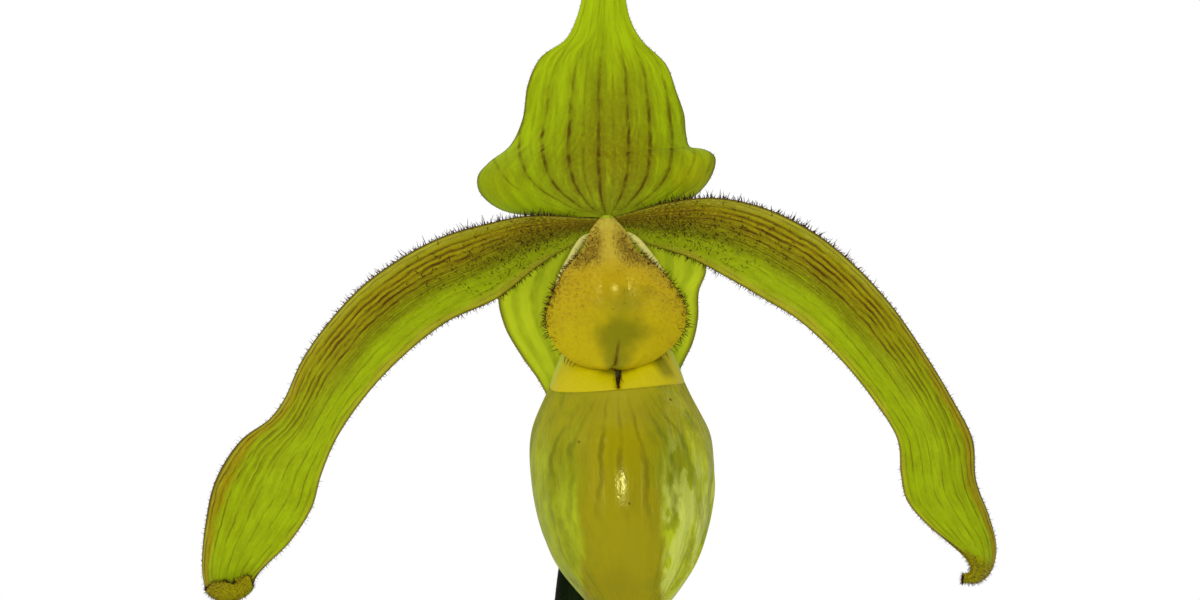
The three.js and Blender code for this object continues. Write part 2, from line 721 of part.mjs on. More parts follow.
function staminodeGeometry() {
  const left = [
    [-0.7, -0.6], [-2.4, -2], [-2.8, -4.2], [-5.2, -7], [-6.7, -10.2], [-7.3, -12.4],
    [-6.8, -14.8], [-5.2, -16.8], [-3, -18], [-0.4, -18.4],
  ];
  const right = [
    [0.7, -0.6], [2.8, -2], [3.4, -4.2], [6.8, -7.2], [8.8, -10], [9.5, -12.2],
    [8.8, -14.6], [6.8, -16.6], [4.4, -17.9], [1.8, -18.4],
  ];
  const depthAt = (along, across, point) => {
    const edge = 2 * across - 1;
    const forward = valueAlong([[0, 4.5], [4.2, 6.9], [9, 10.3], [14, 13.8], [18.4, 15.6]], -point.z);
    const groove = 0.5 * Math.exp(-((edge / 0.12) ** 2)) * smoothRise(along, 0.5, 0.8);
    return -forward + 1.1 * edge ** 2 + groove;
  };
  const grid = bladeBetween(left, right, 15, 8, depthAt);
  const thicknessAt = (along, across) => {
    const edge = 2 * across - 1;
    return 0.8 + 1.5 * (1 - edge ** 2) * Math.sin(Math.PI * along);
  };
  return bladeOver(grid, thicknessAt);
}

function bead(x, y, z, width, depth, height) {
  const geometry = new THREE.SphereGeometry(0.5, 10, 6);
  geometry.scale(width, depth, height);
  geometry.translate(x, y, z);
  return geometry;
}

// Column: a short stub that carries the stigma below and an anther and a wing on each side
function columnGeometry() {
  const stub = new THREE.CatmullRomCurve3([
    new THREE.Vector3(0, PETAL_LAYER - PETAL_THICKNESS / 2 - SEAT_GAP - 0.1, -1.1),
    new THREE.Vector3(0, -1.1, -1.25),
    new THREE.Vector3(0.1, -2.9, -3.2),
    new THREE.Vector3(0.3, -4, -6.4),
  ]);
  const wing = (side, reach, drop) => {
    const curve = new THREE.CatmullRomCurve3([
      new THREE.Vector3(side * 0.8, -2.2, -2.2),
      new THREE.Vector3(side * (0.42 * reach + 0.9), -4.6, -0.42 * drop),
      new THREE.Vector3(side * (0.8 * reach + 0.6), -6.7, -0.76 * drop),
      new THREE.Vector3(side * reach, -7.8, -drop),
    ]);
    return stemAlong(curve, 7, 7, (share) => 0.75 * Math.sqrt(1.02 - share));
  };
  const pieces = [
    stemAlong(stub, 6, 12, (share) => 1.9 - 0.4 * share),
    wing(-1, 6.2, 9.2),
    wing(1, 7.6, 8.2),
    bead(0.5, -5.4, -8, 5, 3.6, 4.4),
    bead(-1.7, -4.8, -7.2, 3.4, 2.6, 3.6),
    bead(2.7, -4.8, -7.2, 3.4, 2.6, 3.6),
  ];
  return geometryOf(fuse(pieces));
}

function potted() {
  const mainRoom = LEAF_ROOM_FOR_SCAPE;
  const mainNames = ['leaf_1', 'leaf_2', 'leaf_3', 'leaf_4', 'leaf_5', 'leaf_6'];
  const youngNames = ['young_leaf_1', 'young_leaf_2', 'young_leaf_3'];
  const mainGrowth = {
    x: 0, y: 0, turn: 0, firstSide: -1, room: mainRoom, sheath: 8, sheathStep: 11,
    length: 206, halfWidth: 17.5, oldArch: 2.3, youngArch: 0.95, backward: 0, sway: 34,
  };
  const youngGrowth = {
    x: -8, y: 33, turn: 0.12, firstSide: 1, room: LEAF_ROOM_WITHOUT_SCAPE, sheath: 6, sheathStep: 10,
    length: 128, halfWidth: 13, oldArch: 1.6, youngArch: 0.75, backward: 22, sway: 8,
  };
  const mainRadius = mainRoom + LEAF_NEST_STEP * (mainNames.length - 1) + 1;
  const youngRadius = LEAF_ROOM_WITHOUT_SCAPE + LEAF_NEST_STEP * (youngNames.length - 1) + 1;
  const stemPlaces = [
    { x: mainGrowth.x, y: mainGrowth.y, radius: mainRadius },
    { x: youngGrowth.x, y: youngGrowth.y, radius: youngRadius },
  ];

  const flower = new THREE.Group();
  flower.position.set(FLOWER_ASIDE, -FLOWER_FORWARD, FLOWER_HEIGHT);
  flower.add(named('dorsal_sepal', dorsalSepalGeometry(), SEPAL_GREEN, 0.5));
  flower.add(named('synsepal', synsepalGeometry(), SEPAL_GREEN, 0.5));
  flower.add(named('petal_left', leftPetalGeometry(), PETAL_GREEN, 0.5));
  flower.add(named('petal_right', rightPetalGeometry(), PETAL_GREEN, 0.5));
  flower.add(named('lip', lipGeometry(), POUCH_OLIVE, 0.3));
  flower.add(named('staminode', staminodeGeometry(), SHIELD_GOLD, 0.35));
  flower.add(named('column', columnGeometry(), COLUMN_CREAM, 0.5));

  const rootstock = named('rootstock', rootstockGeometry(mainRadius), STEM_GREEN, 0.8);
  rootstock.position.set(mainGrowth.x, mainGrowth.y, 0);
  const youngRootstock = named('young_rootstock', rootstockGeometry(youngRadius), STEM_GREEN, 0.8);
  youngRootstock.position.set(youngGrowth.x, youngGrowth.y, 0);

  const plant = new THREE.Group();
  plant.add(named('pot', potGeometry(), CLAY, 0.85));
  plant.add(named('bark_bed', barkBedGeometry(stemPlaces), BARK, 0.9));
  plant.add(rootstock, youngRootstock);
  plant.add(leafFan(mainNames, mainGrowth), leafFan(youngNames, youngGrowth));
  plant.add(named('scape', scapeGeometry(), STEM_GREEN, 0.6));
  plant.add(named('bract', bractGeometry(), LEAF_GREEN, 0.6));
  plant.add(named('ovary', ovaryGeometry(), STEM_GREEN, 0.6));
  plant.add(flower);
  return plant;
}

export default potted();
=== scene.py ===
import math

import bpy
import numpy as np
from bpy.props import FloatProperty, FloatVectorProperty, IntProperty, PointerProperty
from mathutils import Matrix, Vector


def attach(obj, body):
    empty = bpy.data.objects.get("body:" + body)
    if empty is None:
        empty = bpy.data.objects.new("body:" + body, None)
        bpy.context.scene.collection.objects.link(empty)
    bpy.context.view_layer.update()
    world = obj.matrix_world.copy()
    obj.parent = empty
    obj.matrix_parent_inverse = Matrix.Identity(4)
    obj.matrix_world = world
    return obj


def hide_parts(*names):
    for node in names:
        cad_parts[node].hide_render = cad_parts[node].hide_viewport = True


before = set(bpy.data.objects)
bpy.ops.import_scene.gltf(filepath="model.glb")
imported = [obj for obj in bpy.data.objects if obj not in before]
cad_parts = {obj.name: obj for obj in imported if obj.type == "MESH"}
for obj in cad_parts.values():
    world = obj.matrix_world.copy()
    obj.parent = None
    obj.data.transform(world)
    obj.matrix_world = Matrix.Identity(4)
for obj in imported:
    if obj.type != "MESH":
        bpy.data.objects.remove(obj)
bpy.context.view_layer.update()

bl_info = {
    "name": "Potted Slipper Orchid",
    "version": (1, 0, 0),
    "blender": (4, 5, 0),
    "location": "3D View > Sidebar > Orchid",
    "description": "Dresses the solids of a slipper orchid in a clay pot",
    "category": "Object",
}

# Shapes are worked out in millimetres around the pot's foot and turned to metres as a mesh is made.
MM = 0.001

POT_HEIGHT = 112
POT_TOP_RADIUS = 60
POT_FOOT_RADIUS = 43
POT_WALL = 5
POT_FLOOR = 8
RIM_HEIGHT = 21
RIM_PROUD = 3.2
RIM_TAPER = 1.2
POT_EDGE_ROUND = 1.8
DRAIN_RADIUS = 5.5
DRAIN_RING_RADIUS = 24
SEAT_GAP = 0.35
BED_LEVEL = 92
BED_DOME = 3
CHIP_CLEARANCE = 5

ROOTSTOCK_TOP = 100
LEAF_NEST_STEP = 1.4
LEAF_ROOM_FOR_SCAPE = 3.7
LEAF_ROOM_WITHOUT_SCAPE = 1.9
YOUNG_GROWTH_PLACE = (-8, 33)

SCAPE_RADIUS = 2.75
SCAPE_TOP_RADIUS = 2.45
SCAPE_TOP = 293
SCAPE_SHIFT = 0.9
BRACT_NEST = 3.5
BRACT_LEAN = 0.1
BRACT_FOOT = (0.55, 0, 290)

FLOWER_PLACE = np.array([3.5, -26, 330])
PETAL_THICKNESS = 0.8
OVARY_FACE = 2.85
OVARY_SINK = 0.35
OVARY_FLARE = 0.75
OVARY_RIB = 0.1
SEPAL_LAYER = 1.9
PETAL_LAYER = 0.7
PETAL_ROLL_MIDDLE = (-45.2, -44.3)
PETAL_ROLL_RADIUS = 1.45
PETAL_ROLL_LEAD = 1.1
PETAL_ROLL_HALF_WIDTH = 2.7
VIEW_DISTANCE = 600
EYE_HEIGHT = -10.2

POUCH_WALL = 0.9
POUCH_TOE = -50
POUCH_FRONT_RIM = -20.6
POUCH_CLAW_TOP = -5.9
PATCHWORK_SIZE = 64
SHIELD_REACH = 18.4
SHIELD_PATCH_FOOT = 19
SHIELD_PATCH_HEIGHT = 12
COLUMN_GREEN_HEIGHT = 4
FLESH_SCATTER = (1.0, 0.9, 0.3)
CAMERA_LENS = 150
CAMERA_SENSOR = 36
FLOOR_THICKNESS = 4

# A colour ramp holds 32 stops, and a line takes four.
LINES_PER_RAMP = 7

# Finishes, the density of chips, the column's mesh, the camera's place and the lamps go by the metre.
CHIP_DENSITY = 60000
POUCH_BAND_MIDDLE = 0.0053
POUCH_BAND_HALF_WIDTH = 0.00485
FLESH_DEPTH = 0.0012
COLUMN_VOXEL = 0.00021
CAMERA_ASIDE = -0.00084
LAMP_AIM = (0, 0, -0.015)
# Name, place, width, height and share of the key power
LAMPS = (
    ("front lamp", (0.005, -0.66, 0.285), 0.035, 0.12, 1),
    ("top lamp", (0.004, -0.17, 0.855), 0.03, 0.03, 0.17),
    ("window lamp", (-0.9, -1.0, 1.2), 0.8, 0.8, 5),
)


# Sizes and colours that a user would change

def length(name, description, default):
    return FloatProperty(
        name=name, description=description, default=default, min=0, unit="LENGTH", precision=5,
    )


def colour(name, description, default):
    return FloatVectorProperty(
        name=name, description=description, default=default, subtype="COLOR", min=0, max=1,
    )


class PotSettings(bpy.types.PropertyGroup):
    """The clay pot and the bark in it."""

    turning_ripple: length("Turning ripple", "How deep the rings left by turning the clay are", 0.00012)
    clay: colour("Clay", "Colour of the fired clay", (0.44, 0.16, 0.075))
    bloom: colour("Mineral bloom", "Pale crust that water leaves on the clay", (0.62, 0.5, 0.4))
    chip_spacing: length("Chip spacing", "Least distance between two bark chips", 0.0048)
    chip_length: length("Chip length", "Length of a middling bark chip", 0.0135)
    bark_light: colour("Light bark", "Colour of the palest chips", (0.3, 0.14, 0.07))
    bark_dark: colour("Dark bark", "Colour of the darkest chips", (0.05, 0.022, 0.013))
    seed: IntProperty(name="Seed", description="Order of the bark chips", default=4)


class FoliageSettings(bpy.types.PropertyGroup):
    """Leaves, stem, bract and ovary."""

    leaf: colour("Leaf", "Upper side of a leaf", (0.035, 0.1, 0.012))
    leaf_pale: colour("Pale leaf", "Underside, veins and foot of a leaf", (0.12, 0.2, 0.018))
    # Painted shade: the stem's skin is darkened to near black, as the backlit stem looks; the real skin is
    # dark green.
    stem: colour("Stem", "Skin of the flower stem", (0.002, 0.005, 0.001))
    ovary: colour("Ovary", "Ribs of the ovary", (0.09, 0.1, 0.015))
    hair: colour("Stem hair", "Hairs on the stem and the ovary", (0.03, 0.012, 0.01))
    hair_length: length("Stem hair length", "Longest hairs on the ovary", 0.0009)


class FlowerSettings(bpy.types.PropertyGroup):
    """Sepals, petals, lip, shield and column."""

    lime: colour("Lime", "Clear green of sepals and petal tips", (0.37, 0.49, 0.004))
    olive: colour("Olive", "Brownish flush on sepals and petals", (0.27, 0.22, 0.003))
    vein: colour("Vein", "Brown veins and margins", (0.075, 0.03, 0.003))
    hair: colour("Petal hair", "Dark hairs on petals and shield", (0.035, 0.011, 0.008))
    hair_length: length("Petal hair length", "Longest hairs on a petal's margin", 0.00115)
    pouch: colour("Pouch", "Middle of the pouch", (0.29, 0.25, 0.001))
    pouch_side: colour("Pouch side", "Paler flanks of the pouch", (0.32, 0.37, 0.006))
    side_lobe: colour("Side lobe", "Folded-in lobes of the lip", (0.535, 0.45, 0.001))
    shield: colour("Shield", "Golden face of the shield", (0.48, 0.325, 0.001))
    shield_green: colour("Shield green", "Green patch low on the shield", (0.1, 0.12, 0.002))
    shield_hair: colour("Shield hair", "Brown hairs on the shield", (0.06, 0.022, 0.006))
    column: colour("Column", "Pale wings and stub of the column", (0.62, 0.58, 0.16))


class StageSettings(bpy.types.PropertyGroup):
    """Floor, lights and camera."""

    camera_distance: length("Camera distance", "From the eye to the middle of the flower", 0.6)
    floor_radius: length("Floor radius", "Radius of the pale floor", 4.5)
    floor: colour("Floor", "Colour of the floor", (0.86, 0.86, 0.85))
    backdrop: FloatProperty(
        name="Backdrop light", description="Strength of the white behind", default=1.0, min=0,
    )
    front_light: FloatProperty(
        name="Front light", description="Strength of the room light", default=0.62, min=0,
    )
    mirrored_light: FloatProperty(
        name="Mirrored light", description="Share of the room light seen in reflections", default=0.4, min=0,
        max=1,
    )
    key_power: FloatProperty(
        name="Key power", description="Power of the front lamp", default=1.1, min=0, unit="POWER",
    )


# Numbers along a line and points along a curve

def smooth_rise(value, start, end):
    share = np.clip((value - start) / (end - start), 0, 1)
    return share * share * (3 - 2 * share)


def value_along(entries, place):
    places, values = zip(*entries)
    return np.interp(place, places, values)


def averaged_along(entries, place, room):
    """The value along entries, averaged as far as room to each side of place."""
    return sum(value_along(entries, place + room * share) for share in np.linspace(-1, 1, 9)) / 9


def shaded(shade, factor):
    """A colour made darker or lighter."""
    return [min(1, c * factor) for c in shade]


def curve_points(points, shares):
    """Points on the centripetal curve through points, from 0 at its start to 1 at its end."""
    points = np.asarray(points, float)
    through = np.vstack([2 * points[0] - points[1], points, 2 * points[-1] - points[-2]])
    place = np.clip(shares, 0, 1) * (len(points) - 1)
    first = np.minimum(place.astype(int), len(points) - 2)
    weight = (place - first)[:, None]
    before, start, end, after = (through[first + k] for k in range(4))

    def gap(a, b):
        return np.sqrt(np.linalg.norm(b - a, axis=1))[:, None]

    lead, span, trail = gap(before, start), gap(start, end), gap(end, after)
    leave = ((start - before) / lead - (end - before) / (lead + span)) * span + end - start
    arrive = ((after - end) / trail - (after - start) / (span + trail)) * span + end - start
    square = 3 * (end - start) - 2 * leave - arrive
    cube = 2 * (start - end) + leave + arrive
    return start + leave * weight + square * weight**2 + cube * weight**3


def along_curve(points, shares):
    """Points on the same curve at the given shares of its length."""
    steps = np.linspace(0, 1, 601)
    samples = curve_points(points, steps)
    lengths = np.concatenate([[0], np.cumsum(np.linalg.norm(np.diff(samples, axis=0), axis=1))])
    return curve_points(points, np.interp(np.asarray(shares) * lengths[-1], lengths, steps))


def turned_about(points, axis, angle):
    cosine, sine = math.cos(angle), math.sin(angle)
    first, second = [(1, 2), (2, 0), (0, 1)][axis]
    turned = points.copy()
    turned[..., first] = points[..., first] * cosine - points[..., second] * sine
    turned[..., second] = points[..., first] * sine + points[..., second] * cosine
    return turned


# Closed meshes

def enclosed_volume(points, faces):
    total = 0.0
    for face in faces:
        fan = points[list(face)]
        first = fan[:1].repeat(len(face) - 2, 0)
        total += float(np.einsum("ij,ij->i", np.cross(fan[1:-1], fan[2:]), first).sum())
    return total / 6


def make_piece(name, points, faces, finish, values=None, face_values=None):
    """A smooth mesh object at the origin; values are kept as attributes of its points and faces."""
    points = np.asarray(points, float)
    if enclosed_volume(points, faces) < 0:
        faces = [tuple(reversed(face)) for face in faces]
    mesh = bpy.data.meshes.new(name)
    mesh.from_pydata((points * MM).tolist(), [], [tuple(int(i) for i in face) for face in faces])
    mesh.shade_smooth()
    for domain, layers in (("POINT", values), ("FACE", face_values)):
        for key, numbers in (layers or {}).items():
            layer = mesh.attributes.new(key, "FLOAT", domain)
            layer.data.foreach_set("value", np.ravel(numbers).astype(np.float32))
    mesh.materials.append(finish)
    piece = bpy.data.objects.new(name, mesh)
    bpy.context.scene.collection.objects.link(piece)
    return piece


def cell_faces(index):
    """The four-sided faces of a grid of point numbers."""
    corners = np.stack([index[:-1, :-1], index[1:, :-1], index[1:, 1:], index[:-1, 1:]], axis=-1)
    return corners.reshape(-1, 4)


def grid_normals(grid):
    rising = grid[1:, 1:] - grid[:-1, :-1]
    falling = grid[:-1, 1:] - grid[1:, :-1]
    cells = np.cross(rising, falling)
    normals = np.zeros_like(grid)
    for rows in (slice(None, -1), slice(1, None)):
        for columns in (slice(None, -1), slice(1, None)):
            normals[rows, columns] += cells
    return normals / np.maximum(np.linalg.norm(normals, axis=2, keepdims=True), 1e-9)


def blade(grid, thickness, along, across, facing):
    """A closed blade round the grid of its middle surface, with its upper side towards facing.

    Returns its points, its faces, the values of its points, and how its rim faces lie."""
    normals = grid_normals(grid)
    if np.mean(normals @ np.asarray(facing, float)) < 0:
        normals = -normals
    half = thickness[..., None] / 2
    points = np.concatenate([(grid + normals * half).reshape(-1, 3), (grid - normals * half).reshape(-1, 3)])
    index = np.arange(grid.shape[0] * grid.shape[1]).reshape(grid.shape[:2])
    lower = index.size
    upper_faces = cell_faces(index)
    under_faces = upper_faces[:, ::-1] + lower
    rim = np.concatenate([index[:, 0], index[-1, 1:], index[-2::-1, -1], index[0, -2::-1]])
    rim_faces = np.stack([rim[1:], rim[:-1], rim[:-1] + lower, rim[1:] + lower], axis=-1)
    faces = np.concatenate([upper_faces, under_faces, rim_faces]).tolist()
    run, span = np.broadcast_arrays(along[:, None], across[None, :])
    values = {
        "along": np.tile(run.ravel(), 2),
        "across": np.tile(span.ravel(), 2),
        "upper": np.repeat([1.0, 0.0], lower),
    }
    rim_place = {"along": run.ravel()[rim[:-1]], "across": span.ravel()[rim[:-1]]}
    return points, faces, values, rim_place


def skin(rings):
    """Points and faces of a closed skin over rings of equally many points, with a fan over each end."""
    rings = np.asarray(rings, float)
    count, around = rings.shape[:2]
    index = np.arange(count * around).reshape(count, around)
    closed = np.concatenate([index, index[:, :1]], axis=1)
    points = np.concatenate([rings.reshape(-1, 3), rings[:1].mean(axis=1), rings[-1:].mean(axis=1)])
    faces = cell_faces(closed).tolist()
    first, last = count * around, count * around + 1
    for k in range(around):
        faces.append((first, closed[0, k], closed[0, k + 1]))
        faces.append((last, closed[-1, k + 1], closed[-1, k]))
    return points, faces


def stem(points, steps, sides, radius_at):
    """Points, faces and values of a round stem along a curve; radius_at takes the share and the angle."""
    shares = np.linspace(0, 1, steps + 1)
    centres = along_curve(points, shares)
    tangents = np.gradient(centres, axis=0)
    tangents /= np.linalg.norm(tangents, axis=1, keepdims=True)
    normal = np.cross(tangents[0], np.cross(tangents[0], [1.0, 0, 0]))
    angles = np.linspace(0, 2 * math.pi, sides, endpoint=False)
    rings = []
    for centre, tangent, share in zip(centres, tangents, shares):
        normal = normal - tangent * (normal @ tangent)
        normal /= np.linalg.norm(normal)
        side = np.cross(tangent, normal)
        radius = np.broadcast_to(radius_at(share, angles), angles.shape)[:, None]
        rings.append(centre + radius * (np.cos(angles)[:, None] * normal + np.sin(angles)[:, None] * side))
    points, faces = skin(rings)
    run = np.append(np.repeat(shares, sides), [0, 1])
    turn = np.append(np.tile(angles, steps + 1), [0, 0])
    return points, faces, {"along": run, "turn": turn}


def merged(parts):
    """Points and faces of several closed meshes as one."""
    points, faces, start = [], [], 0
    for part_points, part_faces in parts:
        if enclosed_volume(part_points, part_faces) < 0:
            part_faces = [tuple(reversed(face)) for face in part_faces]
        points.append(part_points)
        faces += [tuple(i + start for i in face) for face in part_faces]
        start += len(part_points)
    return np.concatenate(points), faces


# Node trees

def socket_of(sockets, key):
    if isinstance(key, int):
        return sockets[key]
    return next(socket for socket in sockets if socket.enabled and socket.name == key)


class Nodes:
    """Adds nodes to a tree: an input given as a socket is linked, and any other value is set."""

    def __init__(self, tree):
        self.tree = tree

    def add(self, kind, inputs=None, output=None, **settings):
        node = self.tree.nodes.new(kind)
        for key, value in settings.items():
            setattr(node, key, value)
        for key, value in (inputs or {}).items():
            socket = socket_of(node.inputs, key)
            if isinstance(value, bpy.types.NodeSocket):
                self.tree.links.new(value, socket)
            else:
                socket.default_value = value
        if output is None:
            return next((socket for socket in node.outputs if socket.enabled), node)
        return socket_of(node.outputs, output)

    def math(self, operation, first, second=0.0, third=0.0):
        inputs = {0: first, 1: second}
        if operation == "MULTIPLY_ADD":
            inputs[2] = third
        return self.add("ShaderNodeMath", inputs, operation=operation)

    def times(self, first, second):
        return self.math("MULTIPLY", first, second)

    def plus(self, first, second):
        return self.math("ADD", first, second)

    def minus(self, first, second):
        return self.math("SUBTRACT", first, second)

    def times_plus(self, first, second, third):
        return self.math("MULTIPLY_ADD", first, second, third)


class Finish(Nodes):
    """A procedural material, built node by node."""

    def __init__(self, name):
        self.material = bpy.data.materials.new(name)
        self.material.use_nodes = True
        super().__init__(self.material.node_tree)
        self.tree.nodes.clear()
        self.place = self.add("ShaderNodeTexCoord", output="Object")

    def value(self, name):
        return self.add("ShaderNodeAttribute", attribute_name=name, output="Fac")

    def place_along(self, axis):
        return self.add("ShaderNodeSeparateXYZ", {"Vector": self.place}, output=axis)

    def place_with_height(self, scale):
        """The place with its height scaled: noise there is drawn out upright below 1 and layered above it."""
        return self.add("ShaderNodeMapping", {"Vector": self.place, "Scale": (1.0, 1.0, scale)})

    def noise(self, scale, detail=3.0, place=None, roughness=0.5):
        inputs = {"Vector": place or self.place, "Scale": scale, "Detail": detail, "Roughness": roughness}
        return self.add("ShaderNodeTexNoise", inputs, output="Fac")

    def surface_noise(self, across_scale, along_scale, detail, roughness=0.5):
        """Noise that follows the blade's surface."""
        across = self.times(self.value("across"), across_scale)
        along = self.times(self.value("along"), along_scale)
        side = self.times(self.value("upper"), 3.0)
        place = self.add("ShaderNodeCombineXYZ", {"X": across, "Y": along, "Z": side})
        return self.noise(1.0, detail, place, roughness)

    def ramp(self, factor, stops, smooth=False):
        """A number or a colour for each place along factor; stops are (place, value)."""
        node = self.tree.nodes.new("ShaderNodeValToRGB")
        self.tree.links.new(factor, node.inputs[0])
        node.color_ramp.interpolation = "EASE" if smooth else "LINEAR"
        elements = node.color_ramp.elements
        elements.remove(elements[1])
        for k, (where, value) in enumerate(stops):
            element = elements[0] if k == 0 else elements.new(min(max(where, 0), 1))
            element.position = min(max(where, 0), 1)
            shade = (value, value, value) if isinstance(value, (int, float)) else tuple(value)[:3]
            element.color = (*shade, 1)
        return node.outputs["Color"]

    def blend(self, factor, first, second):
        def shade(value):
            return value if isinstance(value, bpy.types.NodeSocket) else (*tuple(value)[:3], 1)

        inputs = {"Factor": factor, "A": shade(first), "B": shade(second)}
        return self.add("ShaderNodeMix", inputs, data_type="RGBA", output="Result")

    def layered(self, base, factor, stops, shade, smooth=False):
        """Base with shade laid over it, as strongly as the ramp of factor says."""
        return self.blend(self.ramp(factor, stops, smooth), base, shade)

    def faded(self, value, factor, stops, smooth=False):
        """Value times the ramp of factor."""
        return self.times(value, self.ramp(factor, stops, smooth))

    def bump(self, height, strength, distance):
        inputs = {"Height": height, "Strength": strength, "Distance": distance}
        return self.add("ShaderNodeBump", inputs, output="Normal")

    def lines(self, factor, places, half_width):
        """1 on each line of (place, strength) and 0 between them."""
        total = None
        for start in range(0, len(places), LINES_PER_RAMP):
            stops = []
            for where, strength in places[start:start + LINES_PER_RAMP]:
                stops += [(where - half_width, 0.0), (where - half_width * 0.35, strength),
                          (where + half_width * 0.35, strength), (where + half_width, 0.0)]
            ramp = self.ramp(factor, stops)
            total = ramp if total is None else self.math("MAXIMUM", total, ramp)
        return total

    def finish(self, colour, roughness, normal=None, sheer=0.0, gloss=0.25, subsurface=0.0, tint=None):
        """Ends the material; sheer is the share of light that comes through the thin flesh."""
        inputs = {"Base Color": colour, "Roughness": roughness, "Specular IOR Level": gloss}
        if normal is not None:
            inputs["Normal"] = normal
        if tint:
            inputs["Specular Tint"] = (*tint, 1)
        if subsurface:
            inputs.update({
                "Subsurface Weight": subsurface, "Subsurface Radius": FLESH_SCATTER,
                "Subsurface Scale": FLESH_DEPTH,
            })
        shader = self.add("ShaderNodeBsdfPrincipled", inputs)
        if sheer:
            through = self.add("ShaderNodeBsdfTranslucent", {"Color": colour})
            shader = self.add("ShaderNodeMixShader", {0: sheer, 1: shader, 2: through})
        self.add("ShaderNodeOutputMaterial", {"Surface": shader})
        return self.material


# Geometry Nodes trees

def tree_with_inputs(name, inputs):
    tree = bpy.data.node_groups.new(name, "GeometryNodeTree")
    tree.interface.new_socket("Geometry", in_out="INPUT", socket_type="NodeSocketGeometry")
    for label, kind in inputs:
        tree.interface.new_socket(label, in_out="INPUT", socket_type=kind)
    tree.interface.new_socket("Geometry", in_out="OUTPUT", socket_type="NodeSocketGeometry")
    return tree


def hair_tree():
    """Hairs on a mesh, as dense as its attribute named Where and as long as its attribute hair_length."""
    tree = tree_with_inputs("Hairs", [
        ("Where", "NodeSocketString"), ("Hairs per Area", "NodeSocketFloat"), ("Hair", "NodeSocketObject"),
        ("Length", "NodeSocketFloat"), ("Lean", "NodeSocketFloat"), ("Seed", "NodeSocketInt"),
        ("Finish", "NodeSocketMaterial"),
    ])
    nodes = Nodes(tree)
    given = tree.nodes.new("NodeGroupInput").outputs
    where = nodes.add("GeometryNodeInputNamedAttribute", {"Name": given["Where"]}, data_type="FLOAT")
    density = nodes.times(where, given["Hairs per Area"])
    spread = tree.nodes.new("GeometryNodeDistributePointsOnFaces")
    tree.links.new(given["Geometry"], spread.inputs["Mesh"])
    tree.links.new(density, socket_of(spread.inputs, "Density"))
    tree.links.new(given["Seed"], spread.inputs["Seed"])
    backward = nodes.times(given["Lean"], -1.0)
    least = nodes.add("ShaderNodeCombineXYZ", {"X": backward, "Y": backward, "Z": 0.0})
    most = nodes.add("ShaderNodeCombineXYZ", {"X": given["Lean"], "Y": given["Lean"], "Z": 2 * math.pi})
    tilt = nodes.add("FunctionNodeRandomValue", {"Min": least, "Max": most, "Seed": given["Seed"]},
                     data_type="FLOAT_VECTOR")
    tilt = nodes.add("FunctionNodeEulerToRotation", {"Euler": tilt})
    turn = nodes.add(
        "FunctionNodeRotateRotation", {"Rotation": spread.outputs["Rotation"], "Rotate By": tilt},
        rotation_space="LOCAL",
    )
    uneven = nodes.add("FunctionNodeRandomValue", {"Min": 0.55, "Max": 1.15, "Seed": given["Seed"]},
                       data_type="FLOAT")
    share = nodes.add("GeometryNodeInputNamedAttribute", {"Name": "hair_length"}, data_type="FLOAT")
    size = nodes.times(nodes.times(uneven, share), given["Length"])
    hair = nodes.add("GeometryNodeObjectInfo", {"Object": given["Hair"]}, output="Geometry")
    placed = nodes.add("GeometryNodeInstanceOnPoints", {
        "Points": spread.outputs["Points"], "Instance": hair, "Rotation": turn, "Scale": size,
    })
    real = nodes.add("GeometryNodeRealizeInstances", {"Geometry": placed})
    done = nodes.add("GeometryNodeSetMaterial", {"Geometry": real, "Material": given["Finish"]})
    nodes.add("NodeGroupOutput", {"Geometry": done})
    return tree


